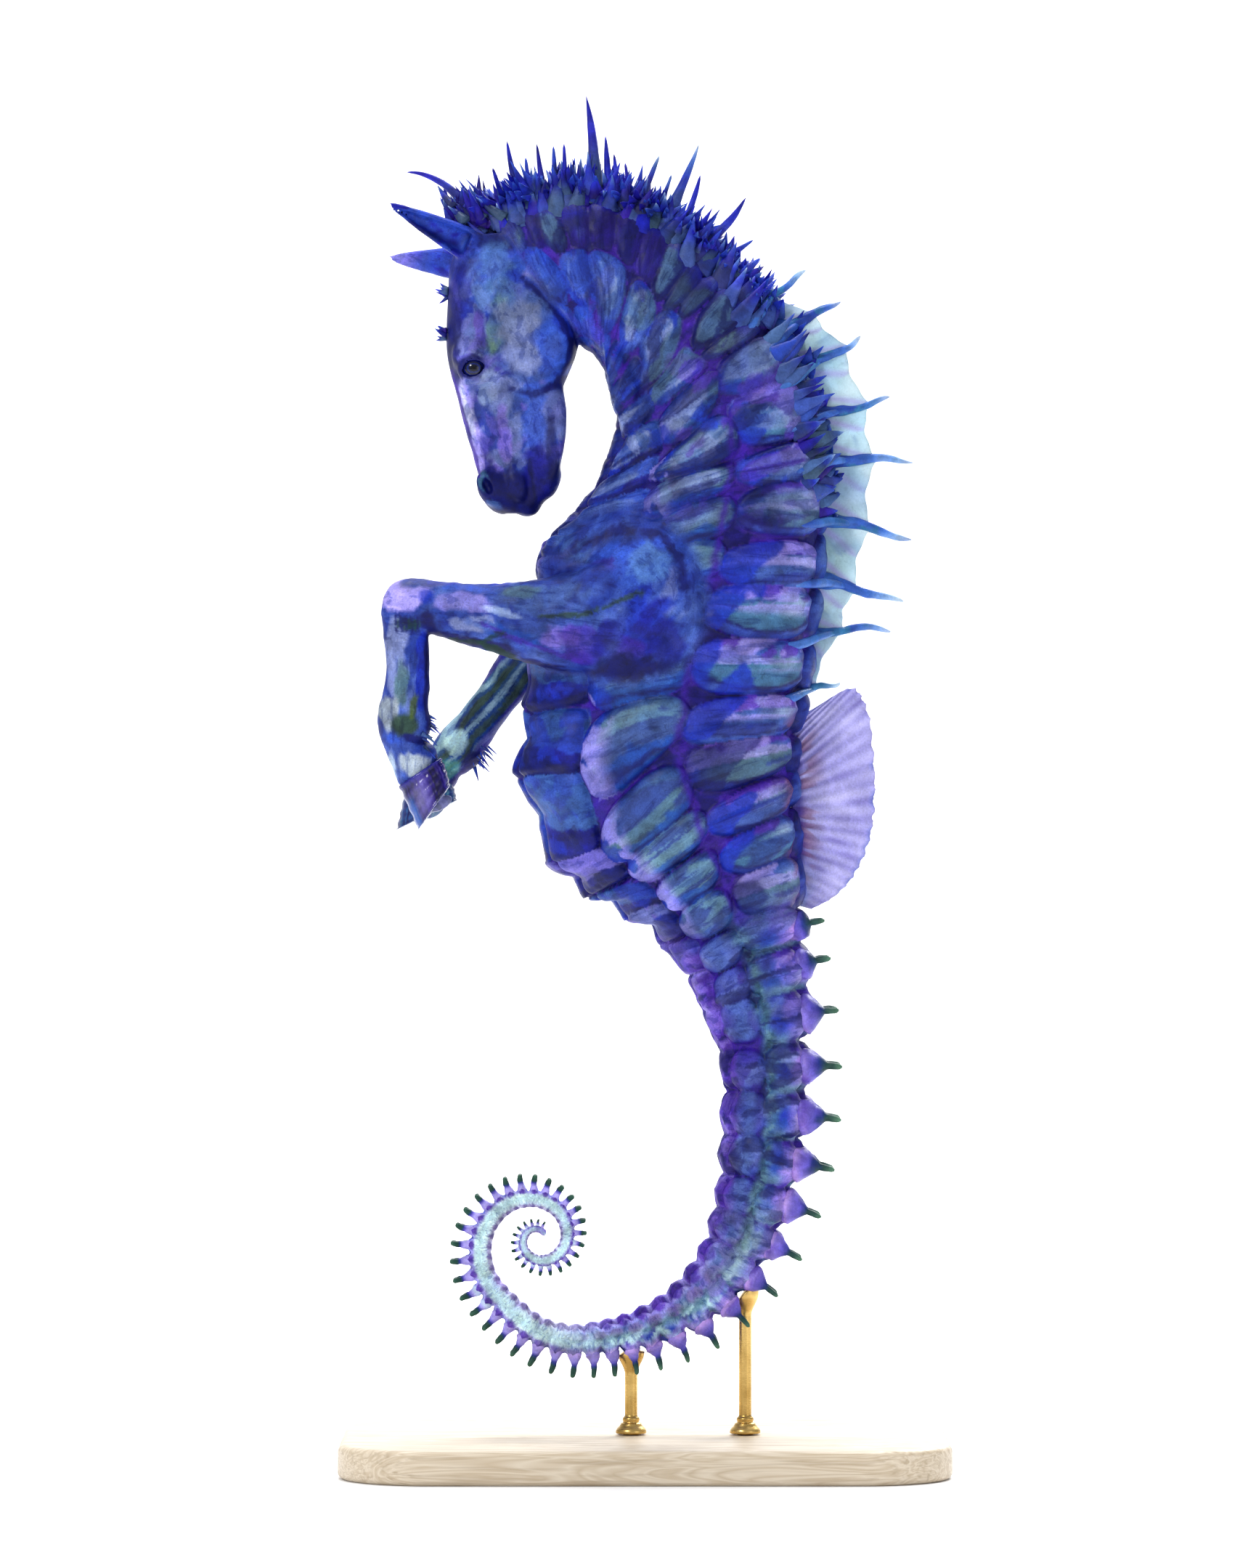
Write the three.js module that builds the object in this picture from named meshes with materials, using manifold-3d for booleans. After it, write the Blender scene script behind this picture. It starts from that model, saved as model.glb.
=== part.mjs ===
// A hippocamp: the sea-horse of Greek tales, with a horse's head and forelegs on the plated body of
// a seahorse. It is 300 mm tall, upright with its tail coiled, on a display stand. Millimetres, +Z up,
// the head towards -X, the body in the XZ plane, the origin at the middle of the stand's underside.
import * as THREE from "three";
import { mergeVertices } from "three/addons/utils/BufferGeometryUtils.js";
import Module from "manifold-3d";

const wasm = await Module();
wasm.setup();

// ---- Driving dimensions -------------------------------------------------------------------------
const GAP = 0.3; // between neighbouring solids
const SIDES = { trunk: 14, tail: 12, thinTail: 8, head: 14, limb: 8, hoof: 12, ear: 8 }; // corners round
const SQUARENESS = { trunk: 2.25, tail: 2.5, head: 2.5, hoof: 2.3 }; // of a section: 2 is an ellipse
const KEEL = 0.28; // how far the belly narrows to its edge
const SWELL = { joint: 0.985, end: 0.99, plates: 1.025 }; // of a ring of plates: its joints, its middle
const BASE = { length: 142, width: 92, thick: 8, corner: 22, chamfer: 1.2 };
const ROD = { radius: 1.6, sides: 12, saddle: 3.4, saddleHeight: 4 };
const RODS = [-3.2, 23.5]; // x of each rod
const FIN = { thick: 0.9, points: 28, notch: 0.45 };
const SAIL = { thick: 0.8, from: 13.1, to: 5.9, inset: 4, reach: 0.66, dip: 1.1 };
const CREST = { thick: 4.4, end: 5, inset: 3.5, low: 1.2, rise: 3.4 };
const EYE = { at: [-39.9, 8.35, 257.1], radius: 2.7 };
// The coil's angles are in degrees; its radius and its depth shrink exponentially, per radian turned.
const COIL = { centre: [-25, 53.7], radius: 16.9, start: -118, sweep: 552, step: 24, tightening: 0.214 };
const COIL_SECTION = { deep: 3.2, thinning: 0.144, width: 0.97 };
const SPINE_END = 0.28; // radius of a spine's blunt tip
// A pair of tail spines, by half the tail's depth where they stand; those below the vent start short.
const TAIL_SPINE = { length: 3.4, slope: 0.43, most: 1.45, thick: 0.62, least: 0.8, splay: 0.22 };
const FIRST_SPINE = { length: 4.4, longer: 1 };
const NECK_END = 9; // the station where the neck meets the trunk
const SMALL_RINGS = 6; // stations below the vent where the rings get too small to swell
// A tail ring's length is this share of half the tail's depth, but those below the vent start short.
const TAIL_RING = { share: 1.06, first: 8, longer: 1.6 };

// Body stations from the poll to the vent: the belly side, the back side, and half the width.
// A station is also a joint between two rings of plates.
const TRUNK = [
  { belly: [-17.5, 266], back: [-36, 293.5], wide: 8.4 },
  { belly: [-14.6, 262.8], back: [-25, 297], wide: 8.8 },
  { belly: [-12.2, 260.8], back: [-13, 297.6], wide: 9.2 },
  { belly: [-9.6, 257.8], back: [0, 293.8], wide: 9.8 },
  { belly: [-7.2, 253.6], back: [12, 286], wide: 10.6 },
  { belly: [-6.2, 248.6], back: [22, 277.6], wide: 11.6 },
  { belly: [-7, 243], back: [30.5, 267.6], wide: 12.8 },
  { belly: [-8.8, 237], back: [37, 256], wide: 14.2 },
  { belly: [-11.4, 230.5], back: [41, 243], wide: 16 },
  { belly: [-16.5, 224], back: [42.4, 230], wide: 17.8 },
  { belly: [-21.2, 217], back: [42.4, 217.5], wide: 19.4 },
  { belly: [-25, 208.5], back: [41.5, 206], wide: 20.6 },
  { belly: [-27, 195], back: [40, 193.5], wide: 21.8 },
  { belly: [-27.6, 179], back: [38.4, 181.5], wide: 22.6 },
  { belly: [-29.6, 163], back: [36.6, 172.5], wide: 22.8 },
  { belly: [-21.8, 142.5], back: [36, 164], wide: 22 },
  { belly: [-13.4, 134.4], back: [36, 155], wide: 20 },
  { belly: [-4, 129.6], back: [36.7, 144], wide: 17.6 },
  { belly: [4.5, 122.5], back: [37.5, 131.5], wide: 15.2 },
];
// Tail stations down to the coil: the middle, half the depth in the XZ plane, and half the width.
const TAIL = [
  { middle: [24.2, 117.5], deep: 14.2, wide: 13 },
  { middle: [26.4, 108.8], deep: 12.7, wide: 11.6 },
  { middle: [28, 99.8], deep: 10.9, wide: 10.3 },
  { middle: [28.4, 89.3], deep: 10, wide: 9.4 },
  { middle: [27.8, 77.5], deep: 9.9, wide: 9 },
  { middle: [26.2, 66], deep: 9.1, wide: 8.4 },
  { middle: [23, 55.2], deep: 8.1, wide: 7.5 },
  { middle: [18.6, 47], deep: 7.2, wide: 6.7 },
  { middle: [13, 40.4], deep: 6.4, wide: 5.9 },
  { middle: [6.5, 35.7], deep: 5.5, wide: 5.1 },
  { middle: [-1, 32.6], deep: 4.7, wide: 4.4 },
  { middle: [-9, 30.8], deep: 4, wide: 3.9 },
  { middle: [-17.5, 30.2], deep: 3.6, wide: 3.5 },
  { middle: [-25.5, 32.6], deep: 3.4, wide: 3.3 },
];
// Head stations from the poll to the lips: the front of the face, the jaw side, and half the width.
const HEAD = [
  { belly: [-43.4, 287.5], back: [-27, 290], wide: 6.4 },
  { belly: [-45.6, 281], back: [-22, 281], wide: 8.6 },
  { belly: [-46.2, 272.5], back: [-18.2, 271], wide: 9.8 },
  { belly: [-46.6, 264], back: [-16, 262.5], wide: 10.2 },
  { belly: [-45.6, 257.8], back: [-18, 255.9], wide: 9.8 },
  { belly: [-43, 251.5], back: [-20, 251.4], wide: 8.2 },
  { belly: [-41.4, 245], back: [-20.6, 246], wide: 6.7 },
  { belly: [-39.9, 239], back: [-21.3, 240.6], wide: 5.7 },
  { belly: [-38.9, 233.5], back: [-20.6, 236.4], wide: 5.8 },
  { belly: [-38.7, 230], back: [-19.6, 232.6], wide: 6.2 },
  { belly: [-38, 227.4], back: [-21.2, 229], wide: 5.9 },
  { belly: [-35.6, 225.1], back: [-24, 225.8], wide: 4.9 },
  { belly: [-32.6, 223.5], back: [-26.4, 223.2], wide: 3.2 },
];
// Lumps of the head: middle and half sizes. One with a y stands on both sides.
const FACE = {
  cheek: { at: [-27.6, 4.6, 263.4], size: [10.6, 5.2, 11] },
  brow: { at: [-39.4, 6.6, 259.4], size: [4.4, 3.6, 4.6] },
  nostril: { at: [-36, 3.6, 229.6], size: [3, 3.2, 3.4] },
  chin: { at: [-22.6, 0, 231.6], size: [3.2, 4, 3.6] },
};
const EARS = [
  { name: "ear_left", root: [-37.6, -4.6, 284.4], tip: [-59.6, -9.4, 295.4] },
  { name: "ear_right", root: [-40, 4.8, 282.2], tip: [-60.2, 10.6, 284.2] },
];
const EAR_SECTION = { widths: [3.5, 3.7, 3.6, 3, 2.3, 1.5, 0.4], depth: 0.6, facing: [0.35, 0, 1] };
const SHOULDER = { at: [-1, 12.6, 204], size: [13, 9.6, 15.5], tilt: 28 };
// Foreleg stations: the middle, half the depth in the leg's own plane, and half the width.
const LEFT_LEG = {
  forearm: [
    { middle: [-4, -13, 200], deep: 13, wide: 9.4 },
    { middle: [-14, -15, 198.2], deep: 11.8, wide: 9 },
    { middle: [-25, -15.4, 197.6], deep: 10, wide: 7.8 },
    { middle: [-35, -15.2, 198.8], deep: 8.2, wide: 6.4 },
    { middle: [-44, -14.8, 200.2], deep: 7, wide: 5.4 },
    { middle: [-50.4, -14.6, 201], deep: 6.6, wide: 5.1 },
  ],
  cannon: [
    { middle: [-54, -14.5, 206.6], deep: 3.6, wide: 2.8 },
    { middle: [-55, -14.5, 203.6], deep: 6.2, wide: 4.8 },
    { middle: [-55.2, -14.5, 199], deep: 5.9, wide: 5.2 },
    { middle: [-55.2, -14.4, 194], deep: 5.1, wide: 4.4 },
    { middle: [-55.2, -14.3, 188], deep: 5, wide: 4 },
    { middle: [-55.9, -14.2, 182], deep: 5.5, wide: 4.2 },
    { middle: [-56.3, -14.1, 176.5], deep: 6.3, wide: 5 },
  ],
  pastern: [
    { middle: [-56.4, -14, 178.4], deep: 5, wide: 4.4 },
    { middle: [-56.2, -14, 173.6], deep: 5.7, wide: 4.8 },
    { middle: [-55.7, -13.8, 169], deep: 4.9, wide: 4.2 },
    { middle: [-54.2, -13.6, 165.4], deep: 5.3, wide: 4.5 },
    { middle: [-51.6, -13.3, 161.6], deep: 5.6, wide: 4.6 },
  ],
  hoof: [
    { front: [-57.3, 159.7], back: [-47.2, 166.4], wide: 4.9 },
    { front: [-56, 156.6], back: [-46.3, 164.6], wide: 5.3 },
    { front: [-54.3, 152.8], back: [-45.6, 162.4], wide: 5.7 },
    { front: [-52.8, 149.5], back: [-45.2, 160.2], wide: 6 },
  ],
  hoofY: -13.3,
};
const RIGHT_LEG = {
  forearm: [
    { middle: [2, 13, 199], deep: 12, wide: 9.4 },
    { middle: [-8, 15, 196.6], deep: 10.6, wide: 8.8 },
    { middle: [-17, 15.2, 194], deep: 8.6, wide: 7.2 },
    { middle: [-24.5, 14.8, 191.8], deep: 7, wide: 5.6 },
  ],
  cannon: [
    { middle: [-26, 14.6, 195.4], deep: 4, wide: 3 },
    { middle: [-27.6, 14.5, 192.2], deep: 6.2, wide: 5 },
    { middle: [-30, 14.2, 187.6], deep: 5.8, wide: 4.9 },
    { middle: [-33.4, 13.6, 182.6], deep: 5.2, wide: 4.2 },
    { middle: [-38, 12.6, 176.4], deep: 5.2, wide: 4 },
    { middle: [-41.8, 11.8, 171.4], deep: 5.9, wide: 4.4 },
    { middle: [-43.8, 11.4, 168.4], deep: 6, wide: 4.8 },
  ],
  pastern: [
    { middle: [-42, 11.6, 170.4], deep: 4.8, wide: 4.2 },
    { middle: [-45.8, 11, 166.6], deep: 5.2, wide: 4.6 },
    { middle: [-48.2, 10.6, 164.4], deep: 4.9, wide: 4.3 },
    { middle: [-51.6, 10, 159.4], deep: 5.6, wide: 4.7 },
  ],
  hoof: [
    { front: [-56.6, 158.8], back: [-45.6, 162], wide: 4.9 },
    { front: [-57.3, 155.6], back: [-44.8, 160.2], wide: 5.3 },
    { front: [-58, 152.4], back: [-44.3, 158.4], wide: 5.7 },
    { front: [-58.6, 149.5], back: [-44, 156.6], wide: 6 },
  ],
  hoofY: 10,
};
// Long spines: root, bend, tip and thickness at the root. Those of the crest stand in the mane,
// those of the back in the sail.
const CREST_SPINES = [
  { root: [-39, 292], bend: [-47, 303.6], tip: [-55.6, 303.4], thick: 2.6 },
  { root: [-32.4, 295], bend: [-34.2, 300], tip: [-35.6, 304.4], thick: 2.2 },
  { root: [-28.8, 295.4], bend: [-30.9, 302], tip: [-32.3, 310.8], thick: 2.6 },
  { root: [-26.3, 296], bend: [-27.2, 301], tip: [-27.9, 306.8], thick: 2.2 },
  { root: [-23.4, 296], bend: [-24.2, 302], tip: [-25.3, 310], thick: 2.4 },
  { root: [-20.6, 296], bend: [-21, 302], tip: [-21.4, 309.6], thick: 2.4 },
  { root: [-18, 296], bend: [-18.7, 302], tip: [-18.9, 310], thick: 2.2 },
  { root: [-12.2, 293], bend: [-10.9, 306], tip: [-13.7, 321.2], thick: 4.4 },
  { root: [-8.6, 295], bend: [-8.4, 302], tip: [-9.2, 312], thick: 3 },
  { root: [-6.4, 294.6], bend: [-6.4, 300], tip: [-7.2, 307.6], thick: 2.4 },
  { root: [-3.6, 293.6], bend: [-3.6, 299], tip: [-4.6, 305.6], thick: 2.2 },
  { root: [-2, 292.8], bend: [0.2, 300], tip: [3.4, 307.4], thick: 2.6 },
  { root: [3, 289], bend: [8.4, 298], tip: [12.6, 309.8], thick: 3.8 },
  { root: [1.4, 291], bend: [4.4, 297], tip: [6.2, 302.8], thick: 2.2 },
  { root: [7, 287], bend: [11, 294], tip: [13, 302.8], thick: 2.8 },
  { root: [10, 284.6], bend: [19, 289], tip: [23.6, 297.4], thick: 3.6 },
  { root: [14, 281.8], bend: [20, 283.8], tip: [25.4, 287.6], thick: 2.8 },
  { root: [17, 279.2], bend: [22.4, 280], tip: [27, 283.4], thick: 2.6 },
];
const BACK_SPINES = [
  { root: [25.5, 272], bend: [32, 275.4], tip: [37.8, 280.4], thick: 3.2 },
  { root: [30, 265.5], bend: [38.6, 268.4], tip: [45.5, 273.6], thick: 3.6 },
  { root: [34, 256.5], bend: [44, 259.6], tip: [50.6, 265], thick: 3.4 },
  { root: [38, 246.6], bend: [48.6, 247.6], tip: [57.4, 250.6], thick: 3.2 },
  { root: [39, 236.4], bend: [50, 236.2], tip: [62.8, 236], thick: 3.6 },
  { root: [39, 223], bend: [51, 221.6], tip: [62.4, 217.4], thick: 3.6 },
  { root: [39, 208.8], bend: [50, 206.4], tip: [60.4, 202.6], thick: 3.4 },
  { root: [37, 194], bend: [47, 197.4], tip: [57.6, 196.4], thick: 3.2 },
  { root: [36, 181.6], bend: [41, 183], tip: [45.8, 184], thick: 2.4 },
];
// The dorsal fin's free edge from top to bottom, and where it roots in the body.
const FIN_EDGE = [
  [38.6, 176.6],
  [43.6, 180.6],
  [49.4, 182.8],
  [52.8, 176],
  [54, 163],
  [53.6, 150.5],
  [50.4, 141],
  [45.2, 134.4],
  [39, 131],
];
const FIN_ROOT = [
  [33, 133],
  [32.5, 175],
];

const COLOURS = {
  skin: [0x3a55b4, 0.5],
  mane: [0x2a2fae, 0.55],
  sail: [0xa9cfe0, 0.4],
  fin: [0xa79fe0, 0.5],
  hoof: [0x54309c, 0.35],
  eye: [0x0a0f22, 0.08],
  wood: [0xd8cbb6, 0.45],
  brass: [0xb8914a, 0.3],
};
const materials = Object.fromEntries(
  Object.entries(COLOURS).map(([name, [color, roughness]]) => [
    name,
    new THREE.MeshStandardMaterial({ name, color, roughness, metalness: name === "brass" ? 1 : 0 }),
  ]),
);

// ---- Solids -------------------------------------------------------------------------------------
// A closed surface through rings of points, each ring with the same number of corners, capped at both ends.
function loft(rings) {
  const n = rings[0].length;
  const middle = (ring) => ring.reduce((sum, p) => sum.add(p), new THREE.Vector3()).divideScalar(n);
  const points = [...rings.flat(), middle(rings[0]), middle(rings[rings.length - 1])];
  const faces = [];
  for (let i = 0; i + 1 < rings.length; i++) {
    for (let k = 0; k < n; k++) {
      const [a, b] = [i * n + k, i * n + ((k + 1) % n)];
      faces.push(a, b, b + n, a, b + n, a + n);
    }
  }
  const last = (rings.length - 1) * n;
  for (let k = 0; k < n; k++) {
    faces.push(k, rings.length * n, (k + 1) % n);
    faces.push(last + k, last + ((k + 1) % n), rings.length * n + 1);
  }
  return closed(points, faces);
}

// A manifold from points and triangles, turned so that it faces out.
function closed(points, faces) {
  const make = (triangles) =>
    new wasm.Manifold(
      new wasm.Mesh({
        numProp: 3,
        vertProperties: new Float32Array(points.flatMap((p) => [p.x, p.y, p.z])),
        triVerts: new Uint32Array(triangles),
      }),
    );
  const made = make(faces);
  if (made.volume() > 0) return made;
  const turned = [];
  for (let i = 0; i < faces.length; i += 3) turned.push(faces[i], faces[i + 2], faces[i + 1]);
  return make(turned);
}

function solid(geometry) {
  const bare = geometry.clone();
  bare.deleteAttribute("normal");
  bare.deleteAttribute("uv");
  const merged = mergeVertices(bare, 1e-4);
  const p = merged.getAttribute("position");
  const points = Array.from({ length: p.count }, (_, i) => new THREE.Vector3().fromBufferAttribute(p, i));
  return closed(points, [...merged.index.array]);
}

const union = (list) => list.reduce((sum, piece) => sum.add(piece));

// The largest of a solid's separate bodies.
function biggest(manifold) {
  return manifold.decompose().reduce((a, b) => (b.volume() > a.volume() ? b : a));
}

const group = new THREE.Group();
group.name = "hippocamp";
function place(name, manifold, material) {
  const { vertProperties, triVerts, numProp } = manifold.getMesh();
  const positions = new Float32Array((vertProperties.length / numProp) * 3);
  for (let i = 0; i < positions.length / 3; i++) {
    positions.set(vertProperties.subarray(i * numProp, i * numProp + 3), i * 3);
  }
  const geometry = new THREE.BufferGeometry()
    .setAttribute("position", new THREE.BufferAttribute(positions, 3))
    .setIndex(new THREE.BufferAttribute(new Uint32Array(triVerts), 1));
  geometry.computeVertexNormals();
  const mesh = new THREE.Mesh(geometry, materials[material]);
  mesh.name = name;
  group.add(mesh);
}

// ---- The body's line and sections ---------------------------------------------------------------
const inPlane = ([x, z]) => new THREE.Vector3(x, 0, z);

// Stations of the coil: a spiral that tightens as it turns clockwise, and thins towards the tip.
function coilStations() {
  const stations = [];
  for (let turned = 0; turned <= COIL.sweep; turned += COIL.step) {
    const angle = THREE.MathUtils.degToRad(COIL.start - turned);
    const radians = THREE.MathUtils.degToRad(turned);
    const radius = COIL.radius * Math.exp(-COIL.tightening * radians);
    const deep = COIL_SECTION.deep * Math.exp(-COIL_SECTION.thinning * radians);
    stations.push({
      middle: [COIL.centre[0] + radius * Math.cos(angle), COIL.centre[1] + radius * Math.sin(angle)],
      deep,
      wide: deep * COIL_SECTION.width,
    });
  }
  return stations;
}

// Tail stations are given by their middle: this adds a belly and a back side, square to the tail's line.
function squareOff(stations, before) {
  return stations.map((station, i) => {
    const from = i ? stations[i - 1].middle : before;
    const to = i + 1 < stations.length ? stations[i + 1].middle : station.middle;
    const along = inPlane(to).sub(inPlane(from)).normalize();
    const outwards = new THREE.Vector3(-along.z, 0, along.x).multiplyScalar(station.deep);
    const middle = inPlane(station.middle);
    const [belly, back] = [middle.clone().sub(outwards), middle.clone().add(outwards)];
    return { belly: [belly.x, belly.z], back: [back.x, back.z], wide: station.wide };
  });
}
const lastOfTrunk = TRUNK[TRUNK.length - 1];
const vent = [0, 1].map((i) => (lastOfTrunk.belly[i] + lastOfTrunk.back[i]) / 2);
const BODY = [...TRUNK, ...squareOff([...TAIL, ...coilStations()], vent)];

// A smooth line of sections through stations, asked for by station number.
function lineOf(stations) {
  const curve = (pick) => new THREE.CatmullRomCurve3(stations.map(pick), false, "catmullrom", 0.5);
  const [belly, back] = [curve((s) => inPlane(s.belly)), curve((s) => inPlane(s.back))];
  const wide = curve((s) => new THREE.Vector3(s.wide, 0, 0));
  return (at) => {
    const u = THREE.MathUtils.clamp(at / (stations.length - 1), 0, 1);
    return { belly: belly.getPoint(u), back: back.getPoint(u), wide: wide.getPoint(u).x };
  };
}
const bodyLine = lineOf(BODY);
const headLine = lineOf(HEAD);

// A ring of corners round a section. grow makes it larger all round; keel narrows its belly.
function ring(section, { squareness, sides, grow = 0, swell = 1, keel = 0, y = 0 }) {
  const middle = section.belly.clone().add(section.back).multiplyScalar(0.5);
  const across = section.back.clone().sub(middle);
  const deep = across.length() * swell + grow;
  const outwards = across.clone().normalize();
  return Array.from({ length: sides }, (_, k) => {
    const angle = (2 * Math.PI * k) / sides;
    const bend = (v) => Math.sign(v) * Math.abs(v) ** (2 / squareness);
    const [t, side] = [bend(Math.cos(angle)), bend(Math.sin(angle))];
    const narrowed = 1 - keel * Math.max(0, -t) ** 1.5;
    const p = middle.clone().addScaledVector(outwards, t * deep);
    p.y = y + side * narrowed * (section.wide * swell + grow);
    return p;
  });
}

// Numbers of the joints between rings: the trunk's own stations, then closer and closer down the tail.
const depthAt = (at) => {
  const { belly, back } = bodyLine(at);
  return belly.distanceTo(back) / 2;
};
const middleAt = (at) => {
  const { belly, back } = bodyLine(at);
  return belly.clone().add(back).multiplyScalar(0.5);
};
function ringJoints() {
  const joints = TRUNK.map((_, i) => i);
  const end = BODY.length - 1;
  const step = 0.02;
  let at = joints[joints.length - 1];
  let walked = 0;
  let last = middleAt(at);
  while (at < end) {
    at += step;
    const here = middleAt(at);
    walked += here.distanceTo(last);
    last = here;
    const longest = TAIL_RING.first + TAIL_RING.longer * (joints.length - TRUNK.length);
    if (walked >= Math.min(TAIL_RING.share * depthAt(at), longest)) {
      joints.push(at);
      walked = 0;
    }
  }
  return joints;
}
const JOINTS = ringJoints();
const FIRST_TAIL_JOINT = TRUNK.length - 1;
const coilStart = FIRST_TAIL_JOINT + TAIL.length + 1;

// The body between two station numbers, swelling in the middle of each ring of plates.
function bodyPiece(from, to, grow = 0) {
  const stops = [];
  for (let i = 0; i + 1 < JOINTS.length; i++) {
    const [a, b] = [JOINTS[i], JOINTS[i + 1]];
    stops.push([a, SWELL.joint]);
    if (a < FIRST_TAIL_JOINT + SMALL_RINGS) stops.push([(a + b) / 2, a < NECK_END - 1 ? 1 : SWELL.plates]);
  }
  const inside = stops.filter(([at]) => at > from + 0.06 && at < to - 0.06);
  const endSwell = (at) => (at < NECK_END - 1 ? 1 : SWELL.end);
  const all = [[from, endSwell(from)], ...inside, [to, endSwell(to)]];
  const middle = (from + to) / 2;
  let sides = SIDES.trunk;
  if (middle > FIRST_TAIL_JOINT + SMALL_RINGS - 1) sides = SIDES.tail;
  if (middle > FIRST_TAIL_JOINT + SMALL_RINGS + 2) sides = SIDES.thinTail;
  return loft(
    all.map(([at, swell]) =>
      ring(bodyLine(at), {
        swell,
        grow,
        sides,
        keel: at < SMALL_RINGS ? 0 : KEEL,
        squareness: at > FIRST_TAIL_JOINT ? SQUARENESS.tail : SQUARENESS.trunk,
      }),
    ),
  );
}

// ---- Spines -------------------------------------------------------------------------------------
// A curved, tapering spike through root, bend and tip, blunt at the end.
function spike({ root, bend, tip, thick }, sides, steps) {
  const curve = new THREE.QuadraticBezierCurve3(root, bend, tip);
  const rings = [];
  for (let i = 0; i <= steps; i++) {
    const u = i / steps;
    const [p, along] = [curve.getPoint(u), curve.getTangent(u)];
    const side = new THREE.Vector3(0, 1, 0).cross(along).normalize();
    const other = along.clone().cross(side);
    const radius = (thick / 2) * (1 - u) ** 0.8 + SPINE_END;
    rings.push(
      Array.from({ length: sides }, (_, k) => {
        const angle = (2 * Math.PI * k) / sides;
        return p
          .clone()
          .addScaledVector(side, Math.cos(angle) * radius)
          .addScaledVector(other, Math.sin(angle) * radius);
      }),
    );
  }
  return loft(rings);
}
const flatSpike = ({ root, bend, tip, thick }, y) =>
  spike({ root: inPlane(root), bend: inPlane(bend).setY(y / 2), tip: inPlane(tip).setY(y), thick }, 3, 2);

// Each tail ring carries a pair of spines on its outer edge, drawn together into one on the coil.
function tailSpines(from, to, grow = 0) {
  const spines = [];
  for (let i = FIRST_TAIL_JOINT; i + 1 < JOINTS.length; i++) {
    const at = (JOINTS[i] + JOINTS[i + 1]) / 2;
    if (at < from + 0.05 || at > to - 0.05) continue;
    const section = bodyLine(at);
    const middle = middleAt(at);
    const outwards = section.back.clone().sub(middle);
    const deep = outwards.length();
    outwards.normalize();
    const usual = Math.min(TAIL_SPINE.length + TAIL_SPINE.slope * deep, TAIL_SPINE.most * deep);
    const length = Math.min(usual, FIRST_SPINE.length + FIRST_SPINE.longer * (i - FIRST_TAIL_JOINT)) + grow;
    const thick = Math.max(deep * TAIL_SPINE.thick, TAIL_SPINE.least) + 2 * grow;
    for (const side of at > coilStart ? [0] : [-1, 1]) {
      const root = middle.clone().addScaledVector(outwards, deep * 0.35);
      root.y = side * section.wide * 0.42;
      const tip = middle.clone().addScaledVector(outwards, deep + length);
      tip.y = side * (section.wide * 0.5 + length * TAIL_SPINE.splay);
      const bend = root.clone().lerp(tip, 0.5);
      spines.push(spike({ root, bend, tip, thick }, 3, 1));
    }
  }
  return spines;
}

// ---- Nodes: neck, trunk and tail ----------------------------------------------------------------
const bodyEnd = BODY.length - 1;
const SPLITS = [
  { name: "tail_root", near: FIRST_TAIL_JOINT + 3.5 },
  { name: "tail_upper", near: FIRST_TAIL_JOINT + 6 },
  { name: "tail_lower", near: FIRST_TAIL_JOINT + 8.5 },
  { name: "tail_bend", near: FIRST_TAIL_JOINT + 11.5 },
  { name: "tail_sweep", near: coilStart + 0.4 },
  { name: "coil_outer", near: coilStart + 5.4 },
  { name: "coil_middle", near: coilStart + 10.4 },
  { name: "coil_inner", near: coilStart + 15.4 },
  { name: "coil_tip", near: bodyEnd },
];
const RESTS = ["tail_lower", "tail_bend", "tail_sweep"];

// The station number a gap further on.
function past(at) {
  const wanted = GAP * 1.5;
  const near = (on) => ["belly", "back"].some((k) => bodyLine(on)[k].distanceTo(bodyLine(at)[k]) < wanted);
  let on = at;
  while (on < bodyEnd && near(on)) on += 0.01;
  return on;
}

// A round lump at a place on one side, -1 for the left and 1 for the right.
function lump({ at, size, tilt = 0 }, side, grow) {
  const sphere = new THREE.SphereGeometry(1, 8, 5);
  const matrix = new THREE.Matrix4()
    .makeTranslation(at[0], side * at[1], at[2])
    .multiply(new THREE.Matrix4().makeRotationY(THREE.MathUtils.degToRad(tilt)))
    .multiply(new THREE.Matrix4().makeScale(...size.map((half) => half + grow)));
  return solid(sphere.applyMatrix4(matrix));
}
const pair = (item, grow) => (item.at[1] ? [-1, 1] : [1]).map((side) => lump(item, side, grow));

const neckSolid = (grow) => bodyPiece(0, NECK_END, grow);
const trunkFrom = past(NECK_END);
const trunkSolid = (grow) => union([bodyPiece(trunkFrom, FIRST_TAIL_JOINT, grow), ...pair(SHOULDER, grow)]);
const neckGrown = neckSolid(GAP);
const trunkGrown = trunkSolid(GAP);
place("neck", neckSolid(0).subtract(union(pair(SHOULDER, GAP))), "skin");
place("trunk", trunkSolid(0), "skin");

let from = past(FIRST_TAIL_JOINT);
const tailRoom = []; // where the tail lies on the rods, a gap larger all round
for (const { name, near } of SPLITS) {
  const off = (at) => Math.abs(at - near);
  const to = JOINTS.reduce((best, at) => (off(at) < off(best) ? at : best), bodyEnd);
  place(name, union([bodyPiece(from, to), ...tailSpines(from, to)]), "skin");
  if (RESTS.includes(name)) tailRoom.push(bodyPiece(from, to, GAP), ...tailSpines(from, to, GAP));
  from = past(to);
}

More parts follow.
